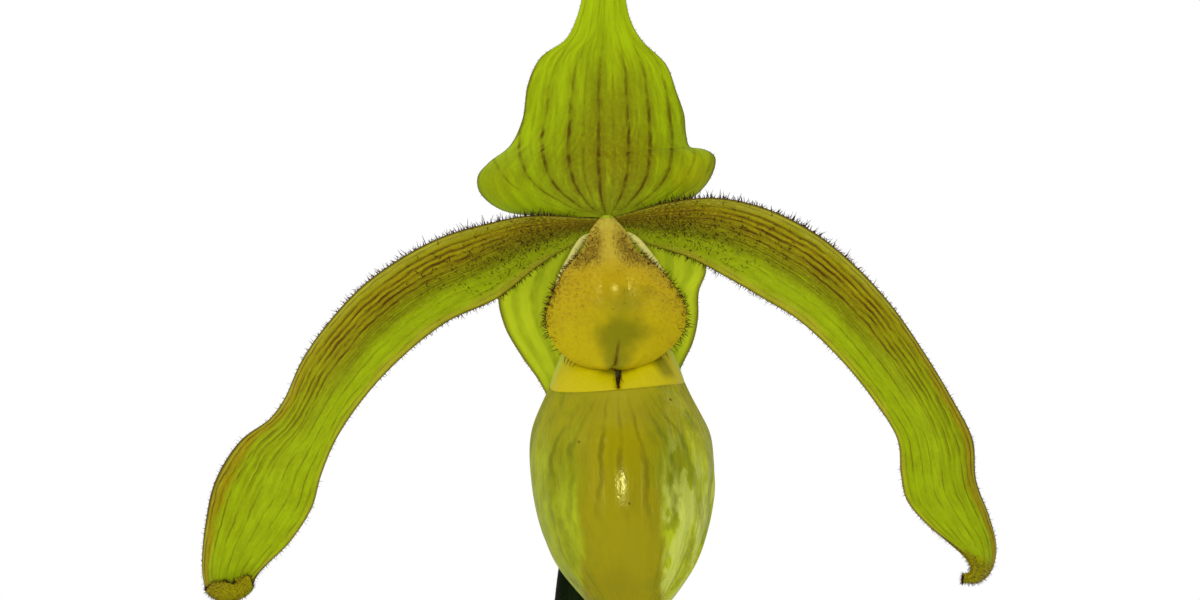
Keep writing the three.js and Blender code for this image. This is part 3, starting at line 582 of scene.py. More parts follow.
def chip_tree():
    """Bark chips heaped on the faces whose attribute top is above 0, clear of two leaf growths."""
    tree = tree_with_inputs(
        "Bark chips",
        [
            ("Spacing", "NodeSocketFloat"), ("Chip Length", "NodeSocketFloat"), ("Heap", "NodeSocketFloat"),
            ("Old Growth", "NodeSocketVector"), ("Old Room", "NodeSocketFloat"),
            ("Young Growth", "NodeSocketVector"), ("Young Room", "NodeSocketFloat"),
            ("Roughness", "NodeSocketFloat"), ("Seed", "NodeSocketInt"), ("Finish", "NodeSocketMaterial"),
        ],
    )
    nodes = Nodes(tree)
    given = tree.nodes.new("NodeGroupInput").outputs
    top = nodes.add("GeometryNodeInputNamedAttribute", {"Name": "top"}, data_type="FLOAT")
    spread = tree.nodes.new("GeometryNodeDistributePointsOnFaces")
    spread.distribute_method = "POISSON"
    tree.links.new(given["Geometry"], spread.inputs["Mesh"])
    tree.links.new(given["Spacing"], spread.inputs["Distance Min"])
    spread.inputs["Density Max"].default_value = CHIP_DENSITY
    tree.links.new(top, spread.inputs["Density Factor"])
    tree.links.new(given["Seed"], spread.inputs["Seed"])
    here = nodes.add("GeometryNodeInputPosition")
    points = spread.outputs["Points"]
    for centre, room in (("Old Growth", "Old Room"), ("Young Growth", "Young Room")):
        distance = nodes.add("ShaderNodeVectorMath", {0: here, 1: given[centre]}, operation="DISTANCE",
                             output="Value")
        near = nodes.add("FunctionNodeCompare", {"A": distance, "B": given[room]}, operation="LESS_THAN")
        points = nodes.add(
            "GeometryNodeDeleteGeometry", {"Geometry": points, "Selection": near}, domain="POINT",
        )
    lift = nodes.add("FunctionNodeRandomValue", {"Min": -1.0, "Max": 1.0, "Seed": 11}, data_type="FLOAT")
    lift = nodes.times(lift, given["Heap"])
    offset = nodes.add("ShaderNodeCombineXYZ", {"Z": lift})
    points = nodes.add("GeometryNodeSetPosition", {"Geometry": points, "Offset": offset})
    chip = nodes.add("GeometryNodeMeshCube", {
        "Size": (1.0, 0.6, 0.34), "Vertices X": 7, "Vertices Y": 5, "Vertices Z": 4,
    })
    turn = nodes.add("FunctionNodeRandomValue", {"Min": (-0.45, -0.45, 0), "Max": (0.45, 0.45, 2 * math.pi),
                     "Seed": 12}, data_type="FLOAT_VECTOR")
    uneven = nodes.add(
        "FunctionNodeRandomValue", {"Min": (0.55, 0.55, 0.55), "Max": (1.25, 1.3, 1.25), "Seed": 13},
        data_type="FLOAT_VECTOR",
    )
    size = nodes.add("ShaderNodeVectorMath", {0: uneven, "Scale": given["Chip Length"]}, operation="SCALE")
    placed = nodes.add("GeometryNodeInstanceOnPoints", {
        "Points": points, "Instance": chip, "Rotation": turn, "Scale": size,
    })
    tone = nodes.add("FunctionNodeRandomValue", {"Min": 0.0, "Max": 1.0, "Seed": 14}, data_type="FLOAT")
    placed = nodes.add("GeometryNodeStoreNamedAttribute", {"Geometry": placed, "Name": "tone", "Value": tone},
                       data_type="FLOAT", domain="INSTANCE")
    real = nodes.add("GeometryNodeRealizeInstances", {"Geometry": placed})
    for scale, share in ((130.0, 1.0), (420.0, 0.35)):
        warp = nodes.add("ShaderNodeTexNoise", {"Scale": scale, "Detail": 2.0}, output="Color")
        centred = nodes.add("ShaderNodeVectorMath", {0: warp, 1: (0.5, 0.5, 0.5)}, operation="SUBTRACT")
        amount = nodes.times(given["Roughness"], share)
        moved = nodes.add("ShaderNodeVectorMath", {0: centred, "Scale": amount}, operation="SCALE")
        real = nodes.add("GeometryNodeSetPosition", {"Geometry": real, "Offset": moved})
    done = nodes.add("GeometryNodeSetMaterial", {"Geometry": real, "Material": given["Finish"]})
    nodes.add("NodeGroupOutput", {"Geometry": done})
    return tree


def grown(name, tree, base, settings):
    """A plain mesh object of what the tree makes on a copy of base."""
    carrier = base.copy()
    bpy.context.scene.collection.objects.link(carrier)
    modifier = carrier.modifiers.new("Growth", "NODES")
    modifier.node_group = tree
    for item in tree.interface.items_tree:
        if item.item_type == "SOCKET" and item.in_out == "INPUT" and item.name in settings:
            modifier[item.identifier] = settings[item.name]
    graph = bpy.context.evaluated_depsgraph_get()
    mesh = bpy.data.meshes.new_from_object(carrier.evaluated_get(graph), depsgraph=graph)
    mesh.name = name
    bpy.data.objects.remove(carrier)
    piece = bpy.data.objects.new(name, mesh)
    bpy.context.scene.collection.objects.link(piece)
    if not mesh.polygons:
        raise RuntimeError(f"{name} came out empty")
    return piece


def hair_shape(slimness):
    """A bent three-sided hair, one unit long, with its root sunk in."""
    rings = []
    for height, width, bend in ((-0.06, 1.0, 0.0), (0.45, 0.7, 0.03), (0.97, 0.18, 0.13)):
        angles = np.arange(3) * 2 * math.pi / 3
        radius = width * slimness
        rings.append([(bend + radius * math.cos(a), radius * math.sin(a), height) for a in angles])
    points, faces = skin(np.array(rings) / MM)
    return make_piece("hair_shape", points, faces, None)


def add_hairs(name, base, tree, finish, slot, passes):
    """Grows each pass of hairs on base and joins them as one piece; a pass is a dict of the tree's inputs."""
    grown_hairs = []
    for number, settings in enumerate(passes):
        shape = hair_shape(settings.get("Slimness", 0.05))
        inputs = {"Hair": shape, "Seed": number + 3, "Finish": finish, "Lean": 0.4, **settings}
        grown_hairs.append(grown(f"{name}_{number}", tree, base, inputs))
        bpy.data.objects.remove(shape)
    piece = join_pieces(name, grown_hairs)
    piece.data.shade_smooth()
    settle(piece, slot)


def join_pieces(name, pieces):
    bpy.ops.object.select_all(action="DESELECT")
    for piece in pieces:
        piece.select_set(True)
    bpy.context.view_layer.objects.active = pieces[0]
    if len(pieces) > 1:
        bpy.ops.object.join()
    joined = bpy.context.view_layer.objects.active
    joined.name = name
    joined.data.name = name
    return joined


def settle(piece, slot, *nodes):
    """Fixes the piece to the plant and hides the solids it stands for."""
    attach(piece, "root")
    if nodes:
        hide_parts(*nodes)


def apply_modifiers(piece):
    graph = bpy.context.evaluated_depsgraph_get()
    mesh = bpy.data.meshes.new_from_object(piece.evaluated_get(graph), depsgraph=graph)
    piece.modifiers.clear()
    piece.data = mesh


# Finishes

def clay_finish(settings):
    finish = Finish("fired clay")
    height = finish.place_along("Z")
    cloud = finish.noise(22.0, 5.0)
    speck = finish.noise(900.0, 2.0)
    base = finish.layered(
        shaded(settings.clay, 0.78), cloud, [(0.3, 0.0), (0.7, 1.0)], shaded(settings.clay, 1.18),
    )
    base = finish.layered(base, speck, [(0.62, 0.0), (0.72, 0.5)], shaded(settings.clay, 0.5))
    patch = finish.noise(38.0, 8.0, roughness=0.62)
    low = finish.ramp(
        finish.times(height, 1 / (POT_HEIGHT * MM)),
        [(0.0, 0.55), (0.14, 1.0), (0.4, 0.45), (0.74, 0.25), (0.8, 0.75), (0.84, 0.3), (1.0, 0.5)],
    )
    crust = finish.faded(low, patch, [(0.47, 0.0), (0.66, 0.75)])
    base = finish.blend(crust, base, settings.bloom)
    grain = finish.plus(speck, finish.times(cloud, 0.6))
    roughness = finish.ramp(patch, [(0.4, 0.78), (0.6, 0.95)])
    return finish.finish(base, roughness, finish.bump(grain, 0.35, 0.0004), gloss=0.25)


def bark_finish(settings):
    finish = Finish("bark chip")
    tone = finish.value("tone")
    layers = finish.place_with_height(3.5)
    grain = finish.noise(420.0, 6.0, layers, 0.65)
    shade = finish.times_plus(tone, 0.75, finish.times_plus(grain, 0.7, -0.25))
    dark, light = settings.bark_dark, settings.bark_light
    middle = [(a + b) / 2 * 0.8 for a, b in zip(dark, light)]
    base = finish.ramp(shade, [(0.1, dark), (0.5, middle), (0.9, light)])
    flake = finish.noise(1300.0, 3.0)
    base = finish.layered(base, flake, [(0.6, 0.0), (0.75, 0.45)], (0.36, 0.23, 0.14))
    relief = finish.plus(grain, finish.times(flake, 0.3))
    return finish.finish(base, 0.88, finish.bump(relief, 0.8, 0.0009), gloss=0.2)


def litter_finish(settings):
    finish = Finish("fine bark litter")
    grain = finish.noise(500.0, 6.0, roughness=0.7)
    base = finish.ramp(grain, [(0.35, shaded(settings.bark_dark, 0.4)), (0.65, settings.bark_dark)])
    return finish.finish(base, 0.95, finish.bump(grain, 1.0, 0.0012), gloss=0.1)


def rhizome_finish():
    finish = Finish("rootstock skin")
    ring = finish.place_with_height(6.0)
    band = finish.noise(150.0, 5.0, ring, 0.6)
    base = finish.ramp(
        band, [(0.35, (0.06, 0.04, 0.015)), (0.5, (0.16, 0.13, 0.04)), (0.65, (0.1, 0.12, 0.03))],
    )
    return finish.finish(base, 0.75, finish.bump(band, 0.6, 0.0008), gloss=0.2)


def leaf_finish(settings, name, age):
    """A strap leaf: dark above, pale below, with a pale foot; an older leaf yellows at its tip."""
    finish = Finish(name)
    across, along = finish.value("across"), finish.value("along")
    cloud = finish.noise(55.0, 4.0)
    streak = finish.surface_noise(46.0, 5.0, 4.0)
    leaf, pale = list(settings.leaf), list(settings.leaf_pale)
    above = finish.layered(shaded(leaf, 0.72), cloud, [(0.35, 0.0), (0.65, 1.0)], shaded(leaf, 1.35))
    above = finish.layered(above, streak, [(0.4, 0.0), (0.62, 0.4)], shaded(leaf, 0.55))
    below = finish.blend(streak, pale, shaded(pale, 0.7))
    base = finish.blend(finish.value("upper"), below, above)
    rib = finish.lines(across, [(0.5, 0.55)], 0.02)
    margin = finish.ramp(across, [(0.0, 0.6), (0.02, 0.0), (0.98, 0.0), (1.0, 0.6)])
    base = finish.blend(finish.math("MAXIMUM", rib, margin), base, pale)
    foot = finish.ramp(along, [(0.0, 0.85), (0.12, 0.5), (0.3, 0.0)])
    base = finish.blend(foot, base, shaded(pale, 1.25))
    spots = finish.ramp(finish.noise(700.0, 2.0), [(0.6, 0.0), (0.68, 0.6)])
    base = finish.blend(finish.times(spots, foot), base, (0.05, 0.015, 0.02))
    worn = finish.faded(cloud, along, [(0.9, 0.0), (1.0, 1.0)])
    worn = finish.times(worn, 0.35 + 1.1 * age)
    base = finish.blend(worn, base, (0.3, 0.22, 0.05))
    wave = finish.math("SINE", finish.times(across, 120.0))
    relief = finish.times_plus(streak, 0.8, finish.times(wave, 0.18))
    roughness = finish.ramp(cloud, [(0.3, 0.3), (0.7, 0.42)])
    return finish.finish(base, roughness, finish.bump(relief, 0.35, 0.0004), sheer=0.08, gloss=0.4)


def stem_finish(settings, name, low, high):
    finish = Finish(name)
    long = finish.place_with_height(0.18)
    streak = finish.noise(900.0, 4.0, long)
    base = finish.layered(low, streak, [(0.35, 0.0), (0.65, 1.0)], high)
    pores = finish.ramp(finish.noise(2600.0, 1.0), [(0.6, 0.0), (0.7, 0.5)])
    base = finish.blend(pores, base, settings.hair)
    return finish.finish(base, 0.55, finish.bump(streak, 0.3, 0.0003), gloss=0.06, tint=(0.6, 0.8, 0.3))


def hair_finish(name, dark):
    finish = Finish(name)
    tint = finish.noise(400.0, 2.0)
    base = finish.blend(tint, shaded(dark, 0.6), shaded(dark, 1.9))
    return finish.finish(base, 0.6, gloss=0.1, tint=(1.0, 0.6, 0.3))


def flesh_finish(name, look, settings):
    """Veined flesh of a sepal or petal; look gives its colours across, its veins and its margins."""
    finish = Finish(name)
    across, along = finish.value("across"), finish.value("along")
    bent = finish.value("vein")
    for scale, share in ((190.0, 1.0), (800.0, 0.4)):
        reach = look["wobble"] * share
        bent = finish.plus(bent, finish.times_plus(finish.noise(scale, 3.0), reach, -reach / 2))
    change = finish.ramp(along, look["change"], smooth=True)
    ground = finish.plus(across, finish.times_plus(finish.noise(240.0, 4.0), 0.16, -0.08))
    base = finish.blend(change, finish.ramp(ground, look["near"], smooth=True),
                        finish.ramp(ground, look["far"], smooth=True))
    uneven = finish.times_plus(finish.noise(420.0, 3.0), 0.6, -0.3)
    for centre, reach, shade, strength in look.get("patches", []):
        off = finish.add("ShaderNodeVectorMath", {0: finish.place, 1: tuple((FLOWER_PLACE + centre) * MM)},
                         operation="SUBTRACT")
        off = finish.add("ShaderNodeVectorMath", {0: off, 1: tuple(np.array(reach) * MM)}, operation="DIVIDE")
        off = finish.add("ShaderNodeVectorMath", {0: off}, operation="LENGTH", output="Value")
        glow = finish.ramp(finish.plus(off, uneven), [(0.0, strength), (1.0, 0.0)], smooth=True)
        base = finish.blend(glow, base, shade)
    streaks = finish.surface_noise(*look["streaks"], 4.0, 0.6)
    base = finish.layered(base, streaks, [(0.42, 0.0), (0.66, look["mottle"])], look["shade"])
    base = finish.layered(base, streaks, [(0.3, look["mottle"]), (0.46, 0.0)], look["bright"])
    cells = finish.noise(2200.0, 2.0)
    base = finish.layered(base, cells, [(0.4, 0.0), (0.7, 0.22)], look["bright"])
    # Painted glints: pale specks laid into the colour near the petals' foot stand for light caught on their
    # hairs.
    if "glints" in look:
        glints = finish.times(
            finish.ramp(finish.noise(3800.0, 1.0), [(0.6, 0.0), (0.7, 0.45)]),
            finish.ramp(along, look["glints"]),
        )
        base = finish.blend(glints, base, (0.55, 0.53, 0.05))
    broken = finish.surface_noise(24.0, look["dashes"], 3.0, 0.6)
    drawn = None
    for lines, half_width, run, least in look["veins"]:
        dashes = finish.times(finish.ramp(broken, [(0.4, least), (0.56, 1.0)]), finish.ramp(along, run))
        veins = finish.times(finish.lines(bent, lines, half_width), dashes)
        drawn = veins if drawn is None else finish.math("MAXIMUM", drawn, veins)
    if "foot" in look:
        foot = finish.times(finish.ramp(along, look["foot"]), finish.ramp(across, look["foot_across"]))
        fleck = finish.surface_noise(50.0, 190.0, 3.0, 0.6)
        fleck = finish.ramp(fleck, [(0.44, 0.1), (0.54, 1.0)])
        drawn = finish.math("MAXIMUM", drawn, finish.times(foot, fleck))
    base = finish.blend(drawn, base, look.get("ink", settings.vein))
    base = finish.layered(base, across, look["margin"], settings.vein)
    if "tip" in look:
        base = finish.blend(finish.faded(0.85, along, look["tip"]), base, (0.38, 0.31, 0.003))
    relief = finish.times_plus(cells, 0.3, finish.times(drawn, -0.5))
    normal = finish.bump(relief, 0.45, 0.0003)
    return finish.finish(base, 0.42, normal, sheer=look["sheer"], gloss=0.25, tint=(1.0, 0.95, 0.15))


# Pot and bark

def rounded(corners, radius, steps=5):
    """The outline through corners with each inner corner cut to a round of the given radius."""
    corners = [np.array(c, float) for c in corners]
    outline = [corners[0]]
    for before, corner, after in zip(corners, corners[1:], corners[2:]):
        back, ahead = before - corner, after - corner
        reach = min(radius, np.linalg.norm(back) / 2.2, np.linalg.norm(ahead) / 2.2)
        start = corner + back / np.linalg.norm(back) * reach
        end = corner + ahead / np.linalg.norm(ahead) * reach
        for share in np.linspace(0, 1, steps):
            outline.append((1 - share) ** 2 * start + 2 * share * (1 - share) * corner + share**2 * end)
    outline.append(corners[-1])
    return np.array(outline)


def pot_radius(z):
    return POT_FOOT_RADIUS + (POT_TOP_RADIUS - POT_FOOT_RADIUS) * z / POT_HEIGHT


def densified(outline, step):
    dense = [outline[0]]
    for start, end in zip(outline, outline[1:]):
        count = max(1, int(np.linalg.norm(end - start) / step))
        dense += [start + (end - start) * k / count for k in range(1, count + 1)]
    return np.array(dense)


def turned(profile, segments, ripple_at=None):
    """Points and faces of a shape turned about Z; the profile's ends close to the axis."""
    angles = np.linspace(0, 2 * math.pi, segments, endpoint=False)
    rings = []
    for radius, z in profile:
        spread = radius + (ripple_at(radius, z, angles) if ripple_at else 0)
        rings.append(
            np.stack([np.cos(angles) * spread, np.sin(angles) * spread, np.full(segments, z)], axis=1)
        )
    return skin(rings)


def pot_ripple(depth):
    def ripple_at(radius, z, angles):
        if z < 1 or radius < pot_radius(z) - POT_WALL / 2:
            return 0 * angles
        rings = math.sin(z * 2.6) + 0.6 * math.sin(z * 1.07 + 1) + 0.35 * math.sin(z * 5.3)
        return depth * (rings + 0.8 * np.sin(2 * angles + z / 40))
    return ripple_at


def make_pot(settings):
    band_foot = POT_HEIGHT - RIM_HEIGHT
    band = pot_radius(POT_HEIGHT) + RIM_PROUD
    outer = [
        (POT_FOOT_RADIUS * 0.5, 0), (POT_FOOT_RADIUS, 0), (pot_radius(band_foot), band_foot),
        (band - RIM_TAPER, band_foot), (band, POT_HEIGHT), (pot_radius(POT_HEIGHT) - POT_WALL, POT_HEIGHT),
        (pot_radius(POT_FLOOR) - POT_WALL, POT_FLOOR), (POT_FOOT_RADIUS * 0.5, POT_FLOOR),
    ]
    outline = densified(rounded(outer, POT_EDGE_ROUND), 1.6)
    points, faces = turned(outline, 144, pot_ripple(settings.turning_ripple / MM))
    pot = make_piece("clay_pot", points, faces, clay_finish(settings))
    cutters = []
    for hole in range(4):
        angle = (hole + 0.5) / 4 * 2 * math.pi
        centre = np.array([math.cos(angle), math.sin(angle), 0]) * DRAIN_RING_RADIUS
        cutter = turned([(DRAIN_RADIUS, -2), (DRAIN_RADIUS, POT_FLOOR + 2)], 32)
        cutters.append((cutter[0] + centre, cutter[1]))
    cutter = make_piece("drain_cutter", *merged(cutters), None)
    holes = pot.modifiers.new("Drain holes", "BOOLEAN")
    holes.object = cutter
    apply_modifiers(pot)
    bpy.data.objects.remove(cutter)
    settle(pot, "clay", "pot")


def make_bark(settings):
    wall = pot_radius(BED_LEVEL) - POT_WALL - SEAT_GAP
    floor = pot_radius(POT_FLOOR) - POT_WALL - SEAT_GAP
    profile = [(floor, POT_FLOOR + SEAT_GAP), (wall, BED_LEVEL)]
    profile += [
        (wall * (1 - k / 12), BED_LEVEL + BED_DOME * math.sin(k / 12 * math.pi / 2)) for k in range(1, 12)
    ]
    points, faces = turned(profile, 96)
    centres = np.array([points[list(face)].mean(axis=0) for face in faces])
    reach = np.hypot(centres[:, 0], centres[:, 1])
    top = ((centres[:, 2] > BED_LEVEL) & (reach < wall - CHIP_CLEARANCE)).astype(float)
    bed = make_piece("bark_fill", points, faces, litter_finish(settings), face_values={"top": top})
    young = Vector((*YOUNG_GROWTH_PLACE, BED_LEVEL)) * MM
    chips = grown("bark_chips", chip_tree(), bed, {
        "Spacing": settings.chip_spacing, "Chip Length": settings.chip_length, "Heap": 0.0028,
        "Old Growth": (0, 0, (BED_LEVEL + BED_DOME) * MM), "Old Room": 0.0175,
        "Young Growth": tuple(young), "Young Room": 0.0115,
        "Roughness": 0.0062, "Seed": settings.seed, "Finish": bark_finish(settings),
    })
    chips.data.shade_flat()
    settle(chips, "bark")
    settle(bed, "bark", "bark_bed")


# Leaves

def leaf_section(leaf, run, spot, lean, columns):
    """One cross-section of a leaf; it clasps the growth low down and opens to a strap."""
    half = leaf_half_width(leaf, run)
    opened = float(smooth_rise(run, leaf["sheath"] - 6, leaf["sheath"] + leaf["opening"]))
    fold = leaf["clasp"] + (leaf["blade"] - leaf["clasp"]) * opened
    bend = leaf["clasp"] * leaf["nest"] * (1 - opened) + 4 * opened
    stride = half / columns
    angles = fold * np.clip((np.arange(columns) + 0.5) * stride / bend, 0, 1)
    out = np.concatenate([[0], np.cumsum(np.cos(angles) * stride)])
    up = np.concatenate([[0], np.cumsum(np.sin(angles) * stride)])
    sway = leaf["sway"] * (max(0, run - leaf["sheath"]) / leaf["length"]) ** 2
    ripple = leaf["ripple"] * opened * math.sin(run / 14 + leaf["nest"])
    edge = (np.arange(columns + 1) / columns) ** 2
    inward = np.array([-math.cos(lean), 0, math.sin(lean)])
    section = []
    for sign in (-1, 1):
        points = spot + np.outer(up + sign * ripple * edge, inward)
        points[:, 1] += sign * out + sway
        points[:, 0] *= leaf["side"]
        section.append(points)
    return np.concatenate([section[0][::-1], section[1][1:]])


def leaf_half_width(leaf, run):
    share = run / leaf["length"]
    clasp = leaf["clasp"] * leaf["nest"] + 1.2
    widening = float(smooth_rise(run, leaf["sheath"] - 2, leaf["sheath"] + 60))
    widened = clasp + (leaf["half_width"] - clasp) * widening
    tip = min(max((share - 0.68) / 0.32, 0), 1)
    return widened * math.sqrt(1 - 0.995 * tip**2.2)


def leaf_lean(leaf, run):
    share = (run - leaf["sheath"]) / (leaf["length"] - leaf["sheath"])
    return 0 if share <= 0 else leaf["arch"] * share**0.85


def leaf_grid(leaf, rows, columns):
    step = leaf["length"] / rows
    spot = np.array([leaf["nest"], 0.0, 0.0])
    grid = []
    for i in range(rows + 1):
        if i > 0:
            lean = leaf_lean(leaf, (i - 0.5) * step)
            spot = spot + np.array([math.sin(lean), 0, math.cos(lean)]) * step
        grid.append(leaf_section(leaf, i * step, spot, leaf_lean(leaf, i * step), columns))
    return np.array(grid)


def leaf_blade(leaf, rows=110, columns=14):
    grid = leaf_grid(leaf, rows, columns)
    along = np.linspace(0, 1, rows + 1)
    across = np.linspace(0, 1, 2 * columns + 1)
    edge = np.abs(2 * across - 1)
    body = 0.42 + 0.45 * (1 - edge**3) + 0.45 * np.exp(-((edge / 0.07) ** 2))
    thickness = body[None, :] * (1 - 0.35 * along[:, None])
    return grid, thickness, along, across


def fan_leaves(names, growth):
    """Each leaf of a growth; the oldest is outermost, lowest and most arched."""
    for order, name in enumerate(names):
        inner = len(names) - 1 - order
        age = inner / (len(names) - 1)
        yield name, age, {
            "side": growth["first_side"] * (1 if order % 2 == 0 else -1),
            "nest": growth["room"] + LEAF_NEST_STEP * inner,
            "sheath": growth["sheath"] + growth["sheath_step"] * order,
            "length": growth["length"] * (0.93 + 0.14 * math.sin(2.1 * order + 0.6)),
            "half_width": growth["half_width"] * (0.86 + 0.14 * age),
            "arch": growth["young_arch"] + (growth["old_arch"] - growth["young_arch"]) * age,
            "clasp": math.pi / 2, "opening": 48, "blade": 0.3, "ripple": 1.1,
            "sway": growth["backward"] + growth["sway"] * math.cos(1.9 * order + 0.4),
        }


def make_leaves(settings):
    main = {
        "place": (0, 0), "turn": 0, "first_side": -1, "room": LEAF_ROOM_FOR_SCAPE, "sheath": 8,
        "sheath_step": 11, "length": 206, "half_width": 17.5, "old_arch": 2.3, "young_arch": 0.95,
        "backward": 0, "sway": 34,
    }
    young = {
        "place": YOUNG_GROWTH_PLACE, "turn": 0.12, "first_side": 1, "room": LEAF_ROOM_WITHOUT_SCAPE,
        "sheath": 6, "sheath_step": 10, "length": 128, "half_width": 13, "old_arch": 1.6, "young_arch": 0.75,
        "backward": 22, "sway": 8,
    }
    growths = [
        (main, [f"leaf_{k}" for k in range(1, 7)]),
        (young, [f"young_leaf_{k}" for k in range(1, 4)]),
    ]
    for growth, names in growths:
        for name, age, leaf in fan_leaves(names, growth):
            grid, thickness, along, across = leaf_blade(leaf)
            grid = turned_about(grid, 2, growth["turn"])
            grid += np.array([*growth["place"], ROOTSTOCK_TOP + SEAT_GAP])
            points, faces, values, _ = blade(grid, thickness, along, across, (0, 0, 1))
            worn = age if growth is main else 0.1
            finish = leaf_finish(settings, f"leaf skin {name}", worn)
            settle(make_piece(f"{name}_blade", points, faces, finish, values), "leaf", name)
    skin_finish = rhizome_finish()
    for node in ("rootstock", "young_rootstock"):
        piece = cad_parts[node]
        piece.data.materials.clear()
        piece.data.materials.append(skin_finish)


# Flower stem

def make_stem(settings, tree):
    hair = hair_finish("stem hair", settings.hair)
    # The stem's skin colour is darkened to near black, as painted shade of the backlit stem.
    skin_finish = stem_finish(settings, "stem skin", settings.stem, shaded(settings.stem, 2.2))
    route = [
        (0, 0, ROOTSTOCK_TOP + SEAT_GAP), (0, 0, ROOTSTOCK_TOP + 75), (-0.9, -0.6, 240), (-0.8, -0.2, 279),
        (SCAPE_SHIFT, 0, SCAPE_TOP),
    ]
    points, faces, values = stem(
        route, 150, 28, lambda share, angle: SCAPE_RADIUS + (SCAPE_TOP_RADIUS - SCAPE_RADIUS) * share)
    values["hairs"] = smooth_rise(values["along"], 0.3, 0.6)
    values["hair_length"] = np.full(len(points), 0.25)
    scape = make_piece("scape_stem", points, faces, skin_finish, values)
    add_hairs("scape_hairs", scape, tree, hair, "stem", [
        {"Where": "hairs", "Hairs per Area": 1.7e6, "Length": settings.hair_length, "Slimness": 0.06},
    ])
    settle(scape, "stem", "scape")

    ovary_finish = stem_finish(settings, "ovary skin", settings.ovary, shaded(settings.ovary, 0.45))
    route = [(SCAPE_SHIFT, 0, SCAPE_TOP + SEAT_GAP), (2, -0.4, SCAPE_TOP + 14), (2.9, -4.5, SCAPE_TOP + 28),
             (3.4, -12, FLOWER_PLACE[2] + 1),
             (FLOWER_PLACE[0], OVARY_FACE - OVARY_SINK + FLOWER_PLACE[1], FLOWER_PLACE[2])]

    def ovary_radius(share, angle):
        body = 1.8 + 0.45 * math.sin(math.pi * share**0.9) + OVARY_FLARE * smooth_rise(share, 0.93, 1)
        return body * (1 + OVARY_RIB * np.cos(6 * angle))

    points, faces, values = stem(route, 90, 60, ovary_radius)
    values["hairs"] = np.ones(len(points))
    values["hair_length"] = np.ones(len(points))
    ovary = make_piece("ovary_body", points, faces, ovary_finish, values)
    add_hairs("ovary_hairs", ovary, tree, hair, "stem", [
        {"Where": "hairs", "Hairs per Area": 3.6e6, "Length": settings.hair_length, "Slimness": 0.05},
    ])
    settle(ovary, "stem", "ovary")

    bract = {
        "side": 1, "nest": BRACT_NEST, "sheath": 6, "length": 29, "half_width": 5, "arch": 0.5, "clasp": 2.7,
        "opening": 18, "blade": 0.95, "sway": 0, "ripple": 0,
    }
    grid, thickness, along, across = leaf_blade(bract, 60, 14)
    grid = turned_about(turned_about(grid, 2, math.pi / 2 + 0.25), 1, BRACT_LEAN) + np.array(BRACT_FOOT)
    points, faces, values, rim = blade(grid, thickness * 0.9, along, across, (0, -1, 0))
    values["hair_length"] = np.full(len(points), 0.6)
    values["hairs"] = 1 - values["upper"]
    rim_hairs = np.concatenate([np.zeros(len(faces) - len(rim["along"])), np.ones(len(rim["along"]))])
    sheath = make_piece("bract_sheath", points, faces, leaf_finish(settings, "bract skin", 0.6), values,
                        {"rim_hairs": rim_hairs})
    add_hairs("bract_hairs", sheath, tree, hair, "leaf", [
        {"Where": "hairs", "Hairs per Area": 1.2e6, "Length": settings.hair_length, "Slimness": 0.05},
        {"Where": "rim_hairs", "Hairs per Area": 9.0e6, "Length": settings.hair_length, "Slimness": 0.06},
    ])
    settle(sheath, "leaf", "bract")


# Sepals and petals: blades ruled between two margins, drawn as they look from straight ahead

def as_seen_from_ahead(points):
    nearness = 1 + points[..., 1] / VIEW_DISTANCE
    seen = points.copy()
    seen[..., 0] *= nearness
    seen[..., 2] = EYE_HEIGHT + (points[..., 2] - EYE_HEIGHT) * nearness
    return seen


def close_at_margins(count):
    """Shares from 0 to 1 that lie closer together towards both ends."""
    share = np.linspace(0, 1, count)
    return 0.45 * share + 0.55 * (0.5 - 0.5 * np.cos(math.pi * share))


def ruled_grid(left, right, rows, columns, depth_at):
    along = np.linspace(0, 1, rows + 1)
    across = close_at_margins(columns + 1)
    start = along_curve([(x, 0, z) for x, z in left], along)[:, None, :]
    end = along_curve([(x, 0, z) for x, z in right], along)[:, None, :]
    grid = start + (end - start) * across[None, :, None]
    grid[..., 1] = depth_at(along[:, None], across[None, :], grid[..., 2])
    return as_seen_from_ahead(grid), along, across


def flesh_thickness(along, across, middle=PETAL_THICKNESS, rim=0.3):
    edge = np.abs(2 * across - 1)[None, :]
    return rim + (middle - rim) * np.sqrt(1 - edge**6) + 0 * along[:, None]


DORSAL_LEFT = [
    (-2.6, -0.4), (-7, 0), (-12.6, 0.7), (-15.2, 2.8), (-15.4, 4.6), (-14.1, 6.2), (-11.6, 8.2),
    (-10.1, 11.4), (-9.5, 15.6), (-8, 18.8), (-4.9, 21.1), (-3.5, 24), (-2.6, 28), (-1.2, 34.5),
]
DORSAL_RIGHT = [
    (2.6, -0.4), (6, 0.6), (10, 2), (12.4, 4.6), (12.9, 6.9), (11.8, 7.7), (9.9, 8.1),
    (9.4, 9.8), (9.2, 12), (8.4, 14.5), (7.1, 18), (4.2, 20.9), (2.8, 23.4), (2, 27.4), (0.9, 34.5),
]
SYNSEPAL_LEFT = [
    (-2.6, -1.1), (-7, -2.4), (-11.4, -5.4), (-13, -9.4), (-12.3, -13.2), (-10.3, -16.8),
    (-8.2, -19.8), (-6.3, -23.4), (-4.1, -28), (-1.6, -32),
]
SYNSEPAL_RIGHT = [
    (2.6, -1.1), (7, -1), (11, -3.4), (11.9, -6.6), (11, -9.2), (10.9, -12.4),
    (10.3, -15.2), (8.8, -18.4), (5.6, -26), (1, -32),
]
LEFT_PETAL_UPPER = [
    (-0.8, -0.4), (-9.1, -0.1), (-14, -1), (-20.5, -3), (-28.4, -7.8), (-33.1, -12.6),
    (-36.5, -17.4), (-38.7, -22.2), (-40.4, -24.5), (-43.9, -27.1), (-46.9, -31.8), (-48.1, -37),
    (-48.5, -42), (-48.2, -44.6), (-47.8, -46.6), (-47.3, -48), (-46.7, -48.9), (-45.7, -49.4),
]
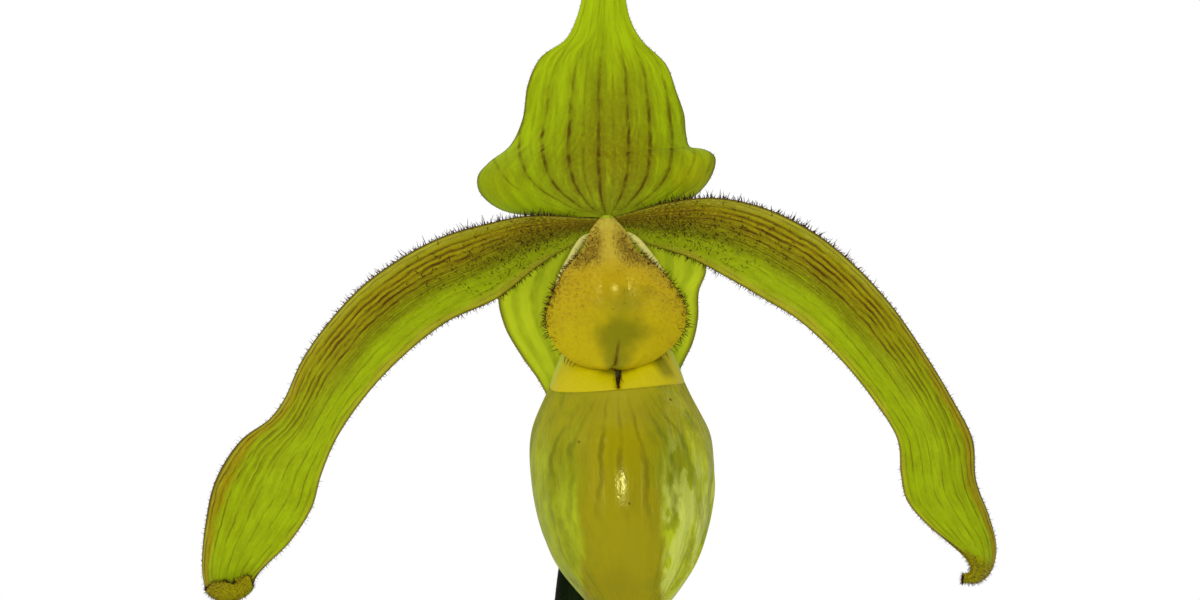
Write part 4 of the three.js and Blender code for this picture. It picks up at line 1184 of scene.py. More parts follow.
LEFT_PETAL_LOWER = [
    (-0.8, -2.2), (-4.4, -3.8), (-8.2, -6.1), (-13.2, -10), (-19.2, -12.8), (-25, -17.4),
    (-29.4, -22.2), (-32.6, -27), (-34.4, -31.4), (-35.4, -35), (-37.9, -39),
    (-42.4, -43.9), (-42.4, -46.2), (-42.6, -47.8), (-43.2, -48.9), (-44.3, -49.4),
]
RIGHT_PETAL_UPPER = [
    (0.8, -0.2), (7.8, 1.6), (13.3, 2), (19.1, 0.7), (24.9, -2.2), (29.7, -6.1), (34, -10.8),
    (37.9, -16.4), (41.4, -22.2), (43.8, -27), (44.2, -31.8), (45.9, -36.6), (46.6, -40),
    (46, -42.6), (44.6, -43.9), (42.7, -43.9),
]
RIGHT_PETAL_LOWER = [
    (0.8, -2), (4.9, -3.5), (9.8, -5.1), (15, -7.8), (19.1, -10.2), (23, -12.6), (28.1, -17.4),
    (32, -22.2), (34.9, -27), (35.3, -31.2), (36, -34.2), (38.4, -37.1),
    (43.3, -41.2), (43.9, -42.4), (43.5, -43.1), (42.8, -43.3),
]
SHIELD_LEFT = [
    (-0.7, -0.5), (-1.9, -2), (-2.8, -4.2), (-5.2, -7), (-6.7, -10.2), (-7.3, -12.4),
    (-6.8, -14.8), (-5.2, -16.8), (-3, -18), (-0.4, -18.4),
]
SHIELD_RIGHT = [
    (0.7, -0.5), (2.1, -2), (3.3, -4.2), (6.8, -7.2), (8.8, -10), (9.5, -12.2),
    (8.8, -14.6), (6.8, -16.6), (4.4, -17.9), (1.8, -18.4),
]


def dorsal_depth(along, across, z):
    edge = 2 * across - 1
    flare = np.sin(math.pi * np.clip(along / 0.55, 0, 1))
    recurve = 3.4 * flare * edge**4
    keel = 1.1 * np.sin(math.pi * along**0.6) * (1 - edge**2)
    lean = 2.5 * along**2 + 1.5 * along
    return SEPAL_LAYER + recurve + lean - keel * smooth_rise(along, 0, 0.3) * 0.6


def synsepal_depth(along, across, z):
    edge = 2 * across - 1
    cup = 1.6 * np.sin(math.pi * along) * (1 - edge**2)
    wave = 0.5 * np.sin(9 * along) * edge**2 * smooth_rise(along, 0.1, 0.3)
    settled = smooth_rise(along, 0.06, 0.4)
    return SEPAL_LAYER + settled * (3.5 * along + cup) + wave


def petal_depth(along, across, z):
    bow = 7 * np.sin(math.pi * along * 0.8) * smooth_rise(along, 0, 0.5)
    rolled = 1.8 * smooth_rise(along, 0.04, 0.3) * np.maximum(0, 1 - 2 * across) ** 2
    channel = 0.7 * smooth_rise(along, 0.04, 0.3) * np.maximum(0, 2 * across - 1) ** 2
    return PETAL_LAYER - bow + rolled - channel


def hooked_petal_depth(along, across, z):
    return petal_depth(along, across, z) - 2.5 * smooth_rise(along, 0.88, 1) ** 2


def rolled_forward(points, middle, radius):
    """Turns up what hangs below the roll towards the front on the given radius; its corners turn earlier."""
    x, start = middle
    start = start + PETAL_ROLL_LEAD * np.minimum(((points[..., 0] - x) / PETAL_ROLL_HALF_WIDTH) ** 2, 1.5)
    drop = np.maximum(start - points[..., 2], 0)
    angle = np.minimum(drop / radius, math.pi * 0.95)
    rest = drop - angle * radius
    rolled = points.copy()
    below = drop > 0
    rolled[..., 2] = np.where(below, start - radius * np.sin(angle) - rest * np.cos(angle), points[..., 2])
    rolled[..., 1] -= np.where(below, radius * (1 - np.cos(angle)) + rest * np.sin(angle), 0)
    return rolled


def flower_blade(name, grid, thickness, along, across, finish, hairs=None, veins=None):
    """A blade of the flower; hairs gives the density on its faces and its rim, and veins the vein places."""
    points, faces, values, rim = blade(grid + FLOWER_PLACE, thickness, along, across, (0, -1, 0))
    values["vein"] = values["across"] if veins is None else np.tile(veins.ravel(), 2)
    face_values = None
    if hairs:
        values["hair_length"] = hairs["length"](values["along"], values["across"])
        if "faces" in hairs:
            values["face_hairs"] = hairs["faces"](values["along"], values["across"], values["upper"])
        if "tip" in hairs:
            values["tip_hairs"] = hairs["tip"](values["along"], values["upper"])
        on_rim = hairs["rim"](rim["along"], rim["across"])
        face_values = {"rim_hairs": np.concatenate([np.zeros(len(faces) - len(on_rim)), on_rim])}
    return make_piece(name, points, faces, finish, values, face_values)


def dorsal_veins(grid):
    """Veins rise from the sepal's foot and run straight up between its lobes."""
    reaches = [(-0.5, 0.8), (0, 1.6), (1.4, 6), (3, 8.6), (5.2, 10.7), (8.3, 11.2), (12.6, 10.6),
               (18, 9.4), (21, 6), (24, 4), (28, 3.2), (34.5, 1.8)]
    height = grid[..., 2]
    room = np.clip(height, 0.2, 1.8)
    reach = averaged_along(reaches, height, room)
    return np.clip(0.5 + grid[..., 0] / reach / 2.6, 0, 1)


def sepal_hairs():
    return {
        "rim": lambda along, across: smooth_rise(along, 0.03, 0.1),
        "length": lambda along, across: 0.6 + 0.4 * np.sin(7 * along) ** 2,
    }


def make_sepals(settings, tree):
    lime, olive = list(settings.lime), list(settings.olive)
    bright = shaded(lime, 1.3)
    shade = [lime[0] * 0.72, lime[1] * 0.62, lime[2]]
    hair = hair_finish("sepal hair", settings.vein)
    main_veins = [
        (0.138, 0.75), (0.235, 0.95), (0.342, 1.0), (0.465, 1.0), (0.59, 1.0), (0.681, 0.95), (0.769, 0.85),
    ]
    dorsal_look = {
        "near": [(0.0, bright), (0.2, lime), (0.42, shade), (0.58, shade), (0.8, lime), (1.0, bright)],
        "far": [(0.0, bright), (0.3, bright), (0.45, lime), (0.62, bright), (1.0, bright)],
        "change": [(0.3, 0.0), (0.75, 1.0)], "mottle": 0.6, "bright": bright, "shade": shade, "wobble": 0.022,
        "ink": (0.1, 0.045, 0.003), "streaks": (30.0, 8.0), "dashes": 22.0, "sheer": 0.35,
        "veins": [
            (main_veins, 0.013,
             [(0.0, 0.0), (0.08, 0.25), (0.2, 0.95), (0.45, 0.95), (0.6, 0.5), (0.75, 0.2), (0.9, 0.0)],
             0.45),
            (main_veins, 0.038, [(0.05, 0.0), (0.15, 0.38), (0.5, 0.32), (0.75, 0.0)], 0.3),
            ([(0.023, 0.6), (0.075, 0.3), (0.187, 0.35), (0.285, 0.35), (0.4, 0.6), (0.43, 0.3), (0.53, 0.5),
              (0.63, 0.4), (0.725, 0.35), (0.82, 0.5), (0.865, 0.6), (0.94, 0.5)],
             0.009, [(0.0, 0.0), (0.06, 0.3), (0.15, 0.6), (0.5, 0.6), (0.7, 0.0)], 0.1),
        ],
        "margin": [(0.0, 0.8), (0.008, 0.4), (0.02, 0.0), (0.98, 0.0), (0.992, 0.4), (1.0, 0.8)],
        "patches": [
            ((1.2, 2, 7.0), (9, 9, 8), olive, 0.9),
            ((1.5, 2, 13.5), (6, 9, 8), olive, 0.5),
            ((10.4, 4, 5.0), (5, 9, 4), (0.5, 0.46, 0.003), 0.8),
            ((-12.8, 4, 3.8), (5, 9, 4), (0.33, 0.36, 0.003), 0.6),
            ((-0.24, 2, 0.7), (0.3, 9, 0.8), settings.vein, 1.0),
        ],
    }
    grid, along, across = ruled_grid(DORSAL_LEFT, DORSAL_RIGHT, 130, 72, dorsal_depth)
    dorsal = flower_blade(
        "dorsal_sepal_blade", grid, flesh_thickness(along, across), along, across,
        flesh_finish("dorsal sepal flesh", dorsal_look, settings), sepal_hairs(), dorsal_veins(grid),
    )

    # Painted light: the joined lower sepals get much paler colours than the lime. They stand in for the light
    # that shines through them from behind while petals and pouch shade them.
    pale = [lime[0] * 1.9, lime[1] * 1.6, lime[2] * 9]
    paler = shaded(pale, 1.15)
    synsepal_look = {
        "near": [(0.0, paler), (0.3, pale), (0.7, pale), (1.0, paler)],
        "far": [(0.0, paler), (0.5, pale), (1.0, paler)],
        "change": [(0.3, 0.0), (0.75, 1.0)], "mottle": 0.3, "bright": paler, "shade": lime, "wobble": 0.04,
        "ink": (0.24, 0.33, 0.004),
        "streaks": (16.0, 8.0), "dashes": 14.0, "sheer": 0.5,
        "veins": [
            ([(0.08, 0.4), (0.18, 0.6), (0.28, 0.7), (0.38, 0.6), (0.5, 0.4), (0.62, 0.6), (0.72, 0.7),
              (0.82, 0.6), (0.92, 0.4)], 0.03, [(0.02, 0.5), (0.3, 0.9), (0.8, 0.7)], 0.6),
        ],
        "margin": [(0.0, 0.75), (0.01, 0.35), (0.024, 0.0), (0.976, 0.0), (0.99, 0.35), (1.0, 0.75)],
    }
    grid, along, across = ruled_grid(SYNSEPAL_LEFT, SYNSEPAL_RIGHT, 90, 48, synsepal_depth)
    synsepal = flower_blade("synsepal_blade", grid, flesh_thickness(along, across), along, across,
                            flesh_finish("synsepal flesh", synsepal_look, settings), sepal_hairs())
    for sepal, node in ((dorsal, "dorsal_sepal"), (synsepal, "synsepal")):
        add_hairs(f"{node}_hairs", sepal, tree, hair, "sepal", [
            {"Where": "rim_hairs", "Hairs per Area": 1.4e7, "Length": 0.00028, "Slimness": 0.12},
        ])
        settle(sepal, "sepal", node)


def petal_hairs():
    def on_faces(along, across, upper):
        return smooth_rise(along, 0.36, 0.06) * np.exp(-(((across - 0.58) / 0.3) ** 2)) * upper

    def on_rim(along, across):
        upper_margin = np.where(across < 0.5, 0.9, 0)
        lower_margin = np.where(across >= 0.5, 0.3 + 0.6 * smooth_rise(along, 0.5, 0.15), 0)
        near_tip = 1.3 * smooth_rise(along, 0.78, 0.93)
        return (upper_margin + lower_margin + near_tip) * smooth_rise(along, 0.02, 0.08)

    def length_at(along, across):
        upper_margin = smooth_rise(across, 0.9, 0.1)
        long = smooth_rise(along, 0.62, 0.3) * smooth_rise(along, 0.0, 0.12)
        return 0.45 + 0.55 * long * (0.5 + 0.5 * upper_margin)

    def on_tip(along, upper):
        return smooth_rise(along, 0.93, 0.955) * (1.0 - 0.3 * upper)

    return {"faces": on_faces, "rim": on_rim, "length": length_at, "tip": on_tip}


def make_petals(settings, tree):
    lime, olive = list(settings.lime), list(settings.olive)
    straw = (0.5, 0.44, 0.03)
    brown = (0.42, 0.3, 0.003)
    dull = (0.23, 0.25, 0.003)
    look = {
        "near": [
            (0.0, straw), (0.06, straw), (0.14, (0.4, 0.34, 0.003)), (0.2, brown), (0.36, shaded(olive, 1.3)),
            (0.56, dull), (0.72, lime), (0.86, lime), (1.0, straw),
        ],
        "far": [(0.0, straw), (0.1, brown), (0.2, lime), (0.6, lime), (0.95, lime), (1.0, straw)],
        "change": [(0.42, 0.0), (0.7, 1.0)], "mottle": 0.45, "bright": shaded(lime, 1.2), "shade": dull,
        "ink": (0.1, 0.04, 0.003), "streaks": (16.0, 24.0), "wobble": 0.075, "dashes": 20.0, "sheer": 0.3,
        # glints gives where the painted glints of light on the hairs are laid into the colour.
        "tip": [(0.93, 0.0), (0.955, 1.0)], "glints": [(0.0, 1.0), (0.3, 0.8), (0.6, 0.3), (1.0, 0.3)],
        "foot": [(0.0, 0.95), (0.1, 0.9), (0.26, 0.0)],
        "foot_across": [(0.0, 0.8), (0.35, 1.0), (0.6, 0.8), (0.85, 0.3)],
        "veins": [
            (
                [(0.15, 0.8), (0.22, 1.0), (0.285, 1.0), (0.35, 1.0), (0.42, 0.95)], 0.023,
                [(0.0, 0.9), (0.1, 0.8), (0.3, 1.0), (0.5, 0.95), (0.7, 0.4), (0.85, 0.0)], 0.35,
            ),
            (
                [
                    (0.14, 0.5), (0.22, 0.5), (0.3, 0.6), (0.38, 0.6), (0.46, 0.75), (0.49, 0.6),
                    (0.52, 0.75), (0.56, 0.6),
                ],
                0.012, [(0.0, 0.9), (0.3, 0.8), (0.5, 0.5), (0.7, 0.0)], 0.2,
            ),
            (
                [
                    (0.07, 0.9), (0.13, 0.6), (0.2, 0.8), (0.33, 0.7), (0.46, 0.6), (0.6, 0.55), (0.73, 0.6),
                    (0.86, 0.6), (0.94, 0.5),
                ],
                0.014, [(0.0, 0.4), (0.4, 0.5), (0.6, 0.9), (0.9, 0.7), (1.0, 0.3)], 0.15,
            ),
        ],
        "margin": [(0.0, 1.0), (0.022, 0.75), (0.042, 0.0), (0.98, 0.0), (1.0, 0.5)],
    }
    finish = flesh_finish("petal flesh", look, settings)
    hair = hair_finish("petal hair", settings.hair)
    hairs = petal_hairs()
    petals = [
        ("petal_left", LEFT_PETAL_UPPER, LEFT_PETAL_LOWER, petal_depth),
        ("petal_right", RIGHT_PETAL_UPPER, RIGHT_PETAL_LOWER, hooked_petal_depth),
    ]
    for node, upper, lower, depth_at in petals:
        grid, along, across = ruled_grid(upper, lower, 190, 44, depth_at)
        if node == "petal_left":
            grid = rolled_forward(grid, PETAL_ROLL_MIDDLE, PETAL_ROLL_RADIUS)
        piece = flower_blade(
            f"{node}_blade", grid, flesh_thickness(along, across), along, across, finish, hairs,
        )
        add_hairs(f"{node}_hairs", piece, tree, hair, "petal", [
            {"Where": "rim_hairs", "Hairs per Area": 7.5e6, "Length": settings.hair_length, "Slimness": 0.06},
            {"Where": "rim_hairs", "Hairs per Area": 3.0e7, "Length": settings.hair_length * 0.55,
             "Slimness": 0.11, "Lean": 0.6},
            {"Where": "face_hairs", "Hairs per Area": 1.0e7, "Length": settings.hair_length * 0.6,
             "Slimness": 0.09, "Lean": 0.8},
            {"Where": "tip_hairs", "Hairs per Area": 2.6e7, "Length": settings.hair_length * 0.8,
             "Slimness": 0.055, "Lean": 0.5},
        ])
        settle(piece, "petal", node)


# Lip

def softened(entries, z):
    """The value along entries, with their corners rounded off."""
    room = np.minimum(1.8, np.asarray(z) - POUCH_TOE)
    return averaged_along(entries, z, room)


def pouch_half_width(z):
    squares = [
        (POUCH_TOE, 0), (-46.1, 5.1**2), (-41.4, 8.55**2), (-36.6, 10.35**2), (-31.8, 11.1**2),
        (-27, 10.8**2), (-24.6, 10.15**2), (-22.2, 8.95**2), (-20.6, 8.2**2), (-16.4, 6.6**2),
        (-10, 4.6**2), (-4, 2.6**2),
    ]
    return np.sqrt(softened(squares, z))


def pouch_half_depth(z):
    squares = [
        (POUCH_TOE, 0), (-46.1, 4.7**2), (-41.4, 7.6**2), (-36.6, 9.2**2), (-31.8, 9.8**2),
        (-27, 9.6**2), (-22.2, 8**2), (-16.4, 5.8**2), (-10, 3.2**2), (-4, 1.3**2),
    ]
    return np.sqrt(softened(squares, z))


def pouch_centre(z):
    aside = value_along([(POUCH_TOE, 2.8), (-41, 2.1), (-30, 1.75), (-20.6, 1.3), (-4, 0.3)], z)
    depths = [(POUCH_TOE, -14), (-36, -13.6), (-27, -13), (-22.2, -11.4), (-16.4, -8.8), (-4, -2.4)]
    return aside, value_along(depths, z)


def patchwork(across, along, seed):
    """Smooth random numbers from -1 to 1 on a plane, one for each unit square; it repeats."""
    table = np.random.default_rng(seed).uniform(-1, 1, (PATCHWORK_SIZE, PATCHWORK_SIZE))
    column, row = np.floor(across).astype(int), np.floor(along).astype(int)
    right, up = smooth_rise(across - column, 0, 1), smooth_rise(along - row, 0, 1)

    def corner(columns, rows):
        return table[(row + rows) % PATCHWORK_SIZE, (column + columns) % PATCHWORK_SIZE]

    low = corner(0, 0) * (1 - right) + corner(1, 0) * right
    high = corner(0, 1) * (1 - right) + corner(1, 1) * right
    return low * (1 - up) + high * up


def pouch_folds(angle, z):
    """Uneven upright ridges on the flanks, strongest low on the right."""
    flank = np.sin(angle) ** 2 * smooth_rise(z, -48, -42) * smooth_rise(z, -20, -26)
    flank = flank * (1 + 0.5 * np.sin(angle))
    turn = angle / (2 * math.pi)
    fine = patchwork(PATCHWORK_SIZE * turn, z / 4.2 + np.sin(5 * angle), 5)
    broad = patchwork(PATCHWORK_SIZE / 2 * turn, z / 5.5 + 8, 6)
    return flank * (0.19 * fine + 0.26 * broad)


def pouch_point(angle, z, wall):
    aside, depth = pouch_centre(z)
    half_width = np.maximum(pouch_half_width(z) - wall, 0.05)
    half_depth = np.maximum(pouch_half_depth(z) - wall, 0.05)
    fold = 0 if wall else pouch_folds(angle, z)
    x = aside + (half_width + fold) * np.sin(angle)
    y = depth - (half_depth + fold) * np.cos(angle)
    return as_seen_from_ahead(np.stack([x, y, z + 0 * angle], axis=-1))


def pouch_rim_height(angle):
    backward = ((1 - np.cos(angle)) / 2) ** 5
    front = np.maximum(np.cos(angle), 0)
    tilt = 0.75 * np.sin(angle) * front**0.5 - 0.35 * front
    return POUCH_FRONT_RIM + (POUCH_CLAW_TOP - POUCH_FRONT_RIM) * backward + tilt


def from_front(angle):
    return np.abs(np.arctan2(np.sin(angle), np.cos(angle)))


def side_lobe_reach(angle):
    reaches = [
        (0, 0.2), (0.025, 0.25), (0.09, 0.55), (0.4, 0.62), (1, 0.45), (1.57, 0.26), (2.3, 0.14), (3.2, 0.04),
    ]
    return value_along(reaches, from_front(angle))


def side_lobe_rise(angle):
    rises = [
        (0, 0.4), (0.025, 0.8), (0.1, 2.5), (0.5, 3.7), (1.1, 4.7), (1.57, 5.2), (2, 3.8), (2.5, 1.5),
        (3.2, 0),
    ]
    return value_along(rises, from_front(angle))


def make_lip(settings, tree):
    around, wall_rings, lobe_rings = 240, 80, 20
    angle = np.linspace(0, 2 * math.pi, around, endpoint=False)

    def wall_ring(share, wall):
        toe = POUCH_TOE + wall
        rim = pouch_rim_height(angle) - wall
        rise = 1 - math.cos(share * math.pi / 2) ** 1.2
        return pouch_point(angle, toe + (rim - toe) * rise, wall)

    def lobe_ring(share, wall):
        rim = pouch_rim_height(angle)
        aside, depth = pouch_centre(rim)
        points = pouch_point(angle, rim, wall)
        reach = share**1.2 * side_lobe_reach(angle)
        points[:, 0] += (aside - points[:, 0]) * reach
        points[:, 1] += (depth - points[:, 1]) * reach
        points[:, 2] = rim - wall + share * side_lobe_rise(angle)
        return points

    rings, heights, zones = [], [], []
    for wall in (0, POUCH_WALL):
        steps = [(wall_ring, k / wall_rings, 0) for k in range(1, wall_rings + 1)]
        steps += [(lobe_ring, k / lobe_rings, 1) for k in range(1, lobe_rings + 1)]
        if wall:
            steps.reverse()
        for ring_at, share, zone in steps:
            rings.append(ring_at(share, wall))
            heights.append(share)
            zones.append(zone)
    points, faces = skin(rings)
    values = {
        "height": np.append(np.repeat(heights, around), [0, 0]),
        "lobe": np.append(np.repeat(np.array(zones, float), around), [0, 0]),
        "front": np.append(np.tile(np.cos(angle), len(rings)), [1, 1]),
        "side": np.append(np.tile(np.sin(angle), len(rings)), [0, 0]),
        "inside": np.append(np.repeat([0.0, 1.0], len(points) // 2 - 1), [0, 1]),
        "hair_length": np.ones(len(points)),
    }
    near_slit = np.append(np.tile(np.exp(-((from_front(angle) / 0.07) ** 2)), len(rings)), [0, 0])
    values["slit_hairs"] = near_slit * values["lobe"] * values["height"] ** 2
    lip = make_piece("lip_pouch", points + FLOWER_PLACE, faces, lip_finish(settings), values)
    add_hairs("lip_slit_hairs", lip, tree, hair_finish("lip hair", settings.shield_hair), "lip", [
        {"Where": "slit_hairs", "Hairs per Area": 2.2e7, "Length": 0.0007, "Slimness": 0.07, "Lean": 0.9},
    ])
    settle(lip, "lip", "lip")


def lip_finish(settings):
    finish = Finish("pouch flesh")
    front, side, height = finish.value("front"), finish.value("side"), finish.value("height")
    lobe = finish.value("lobe")

    def upright_noise(fineness, rising, detail, roughness):
        place = finish.add(
            "ShaderNodeCombineXYZ",
            {
                "X": finish.times(side, fineness), "Y": finish.times(front, fineness),
                "Z": finish.times(height, rising),
            },
        )
        return finish.noise(1.0, detail, place, roughness)

    streak = upright_noise(7.0, 4.5, 4.0, 0.6)
    ridge = upright_noise(9.0, 6.0, 2.0, 0.45)
    tall = finish.place_with_height(0.42)
    blotch = finish.noise(300.0, 5.0, tall, 0.62)
    cloud = finish.noise(170.0, 4.0)
    edge = finish.math("ABSOLUTE", side)
    uneven = finish.plus(finish.times_plus(streak, 0.3, -0.15), finish.times_plus(blotch, 0.3, -0.15))
    flank = finish.plus(finish.math("ABSOLUTE", finish.plus(side, 0.04)), uneven)
    off_band = finish.place_along("X")
    off_band = finish.math(
        "ABSOLUTE",
        finish.times_plus(off_band, 1 / POUCH_BAND_HALF_WIDTH, -POUCH_BAND_MIDDLE / POUCH_BAND_HALF_WIDTH),
    )
    off_band = finish.times_plus(blotch, 0.25, finish.plus(off_band, uneven))
    off_band = finish.times_plus(off_band, 0.5, -0.0625)
    rightward = finish.times_plus(side, 0.5, 0.5)
    middle, green = list(settings.pouch), list(settings.pouch_side)
    dark = (0.24, 0.26, 0.001)
    green = finish.ramp(rightward, [(0.2, shaded(green, 1.05)), (0.9, shaded(green, 1.38))])
    high = finish.layered(middle, flank, [(0.3, 0.0), (0.48, 1.0)], dark, smooth=True)
    high = finish.layered(high, flank, [(0.7, 0.0), (0.84, 1.0)], green, smooth=True)
    low = finish.layered(middle, off_band, [(0.45, 0.0), (0.54, 1.0)], green, smooth=True)
    base = finish.layered(low, height, [(0.58, 0.0), (0.74, 1.0)], high, smooth=True)
    base = finish.layered(base, height, [(0.7, 0.0), (0.95, 0.8)], shaded(middle, 1.12), smooth=True)
    base = finish.layered(base, cloud, [(0.42, 0.0), (0.7, 0.5)], shaded(middle, 0.7))
    aside = finish.ramp(edge, [(0.3, 0.0), (0.55, 1.0)])
    # Dark olive blotches on the flanks: partly the flesh's own blotching, partly painted shade where the bump
    # sinks between the lumps.
    deep = finish.faded(aside, blotch, [(0.52, 0.0), (0.62, 0.6)], smooth=True)
    base = finish.blend(deep, base, (0.19, 0.215, 0.001))
    grain = finish.noise(800.0, 4.0, tall, 0.6)
    base = finish.blend(finish.faded(aside, grain, [(0.48, 0.0), (0.66, 0.5)]), base, (0.2, 0.225, 0.001))
    lump = finish.noise(430.0, 4.0, tall, 0.6)
    # Pale patches on the flanks' ridges and lumps: partly paler flesh, partly painted highlight on the raised
    # lumps, whiter and bluer towards the right as a painted reflection.
    pale = finish.math("MAXIMUM", finish.ramp(ridge, [(0.48, 0.0), (0.64, 0.5)], smooth=True),
                       finish.ramp(lump, [(0.45, 0.0), (0.56, 0.85)], smooth=True))
    pale = finish.faded(finish.times(pale, aside), off_band, [(0.45, 0.0), (0.54, 1.0)])
    pale = finish.faded(pale, rightward, [(0.0, 0.4), (0.6, 0.45), (0.72, 1.0)])
    pale = finish.faded(pale, height, [(0.2, 0.8), (0.6, 1.0), (0.85, 0.15)])
    base = finish.blend(
        pale, base, finish.ramp(rightward, [(0.3, (0.46, 0.54, 0.02)), (0.7, (0.56, 0.62, 0.11))]),
    )
    spread = finish.ramp(height, [(0.6, 1.0), (0.82, 0.8), (1.0, 0.42)])
    fanned = finish.plus(
        finish.math("DIVIDE", side, spread), finish.times_plus(finish.noise(190.0, 3.0), 0.34, -0.17),
    )
    lines = [
        (0.5 + 0.45 * k / 6 + 0.014 * math.sin(5 * k), 0.6 + 0.4 * math.cos(3 * k)) for k in range(-6, 7)
    ]
    veins = finish.lines(finish.times_plus(fanned, 0.5, 0.5), lines, 0.026)
    broken = finish.ramp(finish.noise(300.0, 3.0), [(0.36, 0.3), (0.55, 1.0)])
    veins = finish.faded(
        finish.times(veins, broken), height,
        [(0.5, 0.0), (0.66, 0.6), (0.8, 0.75), (0.92, 0.45), (0.98, 0.1)],
    )
    outer = finish.minus(1.0, finish.value("inside"))
    vein = finish.ramp(edge, [(0.15, (0.16, 0.125, 0.001)), (0.5, (0.12, 0.145, 0.001))])
    base = finish.blend(finish.times(veins, outer), base, vein)
    spots = finish.add("ShaderNodeTexVoronoi", {"Vector": finish.place, "Scale": 330.0}, output="Distance")
    chosen = finish.ramp(finish.noise(300.0, 0.0), [(0.53, 0.0), (0.55, 0.8)])
    base = finish.blend(finish.faded(chosen, spots, [(0.05, 1.0), (0.09, 0.0)]), base, settings.vein)
    # Painted shade: an olive patch at the right end of the folded-in lobe.
    corner = finish.times(
        finish.ramp(rightward, [(0.84, 0.0), (0.9, 0.9), (0.945, 0.9), (0.972, 0.0)]),
        finish.ramp(height, [(0.15, 0.1), (0.35, 1.0), (0.75, 1.0), (1.0, 0.2)]),
    )
    folded = finish.blend(corner, settings.side_lobe, (0.24, 0.21, 0.001))
    folded = finish.layered(folded, edge, [(0.965, 0.0), (0.995, 0.9)], (0.45, 0.52, 0.03))
    base = finish.blend(lobe, base, folded)
    # Painted shade: the pouch's inner wall is darkened to olive-brown, as the shade in its hollow.
    base = finish.blend(finish.times(finish.value("inside"), 0.7), base, (0.09, 0.065, 0.001))
    cells = finish.noise(3200.0, 2.0)
    lumps = finish.times_plus(blotch, -1.0, finish.plus(ridge, lump))
    lumps = finish.times_plus(streak, 0.6, lumps)
    lumps = finish.faded(lumps, edge, [(0.2, 0.06), (0.5, 1.0)])
    lumps = finish.times(lumps, finish.minus(1.0, finish.times(lobe, 0.8)))
    normal = finish.bump(finish.times_plus(cells, 0.04, lumps), 0.5, 0.0008)
    roughness = finish.plus(
        finish.ramp(edge, [(0.1, 0.15), (0.42, 0.45)]), finish.ramp(height, [(0.84, 0.0), (0.92, 0.25)]),
    )
    roughness = finish.blend(lobe, roughness, finish.ramp(edge, [(0.9, 0.26), (0.97, 0.5)]))
    return finish.finish(base, roughness, normal, gloss=0.3, subsurface=0.2, tint=(1.0, 0.97, 0.3))


# Shield and column

def shield_depth(along, across, z):
    edge = 2 * across - 1
    reaches = [(0, 4.5), (4.2, 6.9), (9, 10.3), (14, 13.8), (SHIELD_REACH, 15.6)]
    room = np.clip(np.minimum(-z, SHIELD_REACH + z), 0, 3)
    forward = averaged_along(reaches, -z, room)
    groove = 0.15 * np.exp(-(((edge - 0.05) / 0.06) ** 2)) * smooth_rise(along, 0.68, 0.82)
    groove = groove * smooth_rise(along, 1, 0.93)
    boss = 0.1 * np.exp(-((edge / 0.15) ** 2 + ((z + 9.4) / 1.2) ** 2))
    return -forward + 1.1 * edge**2 + groove - boss


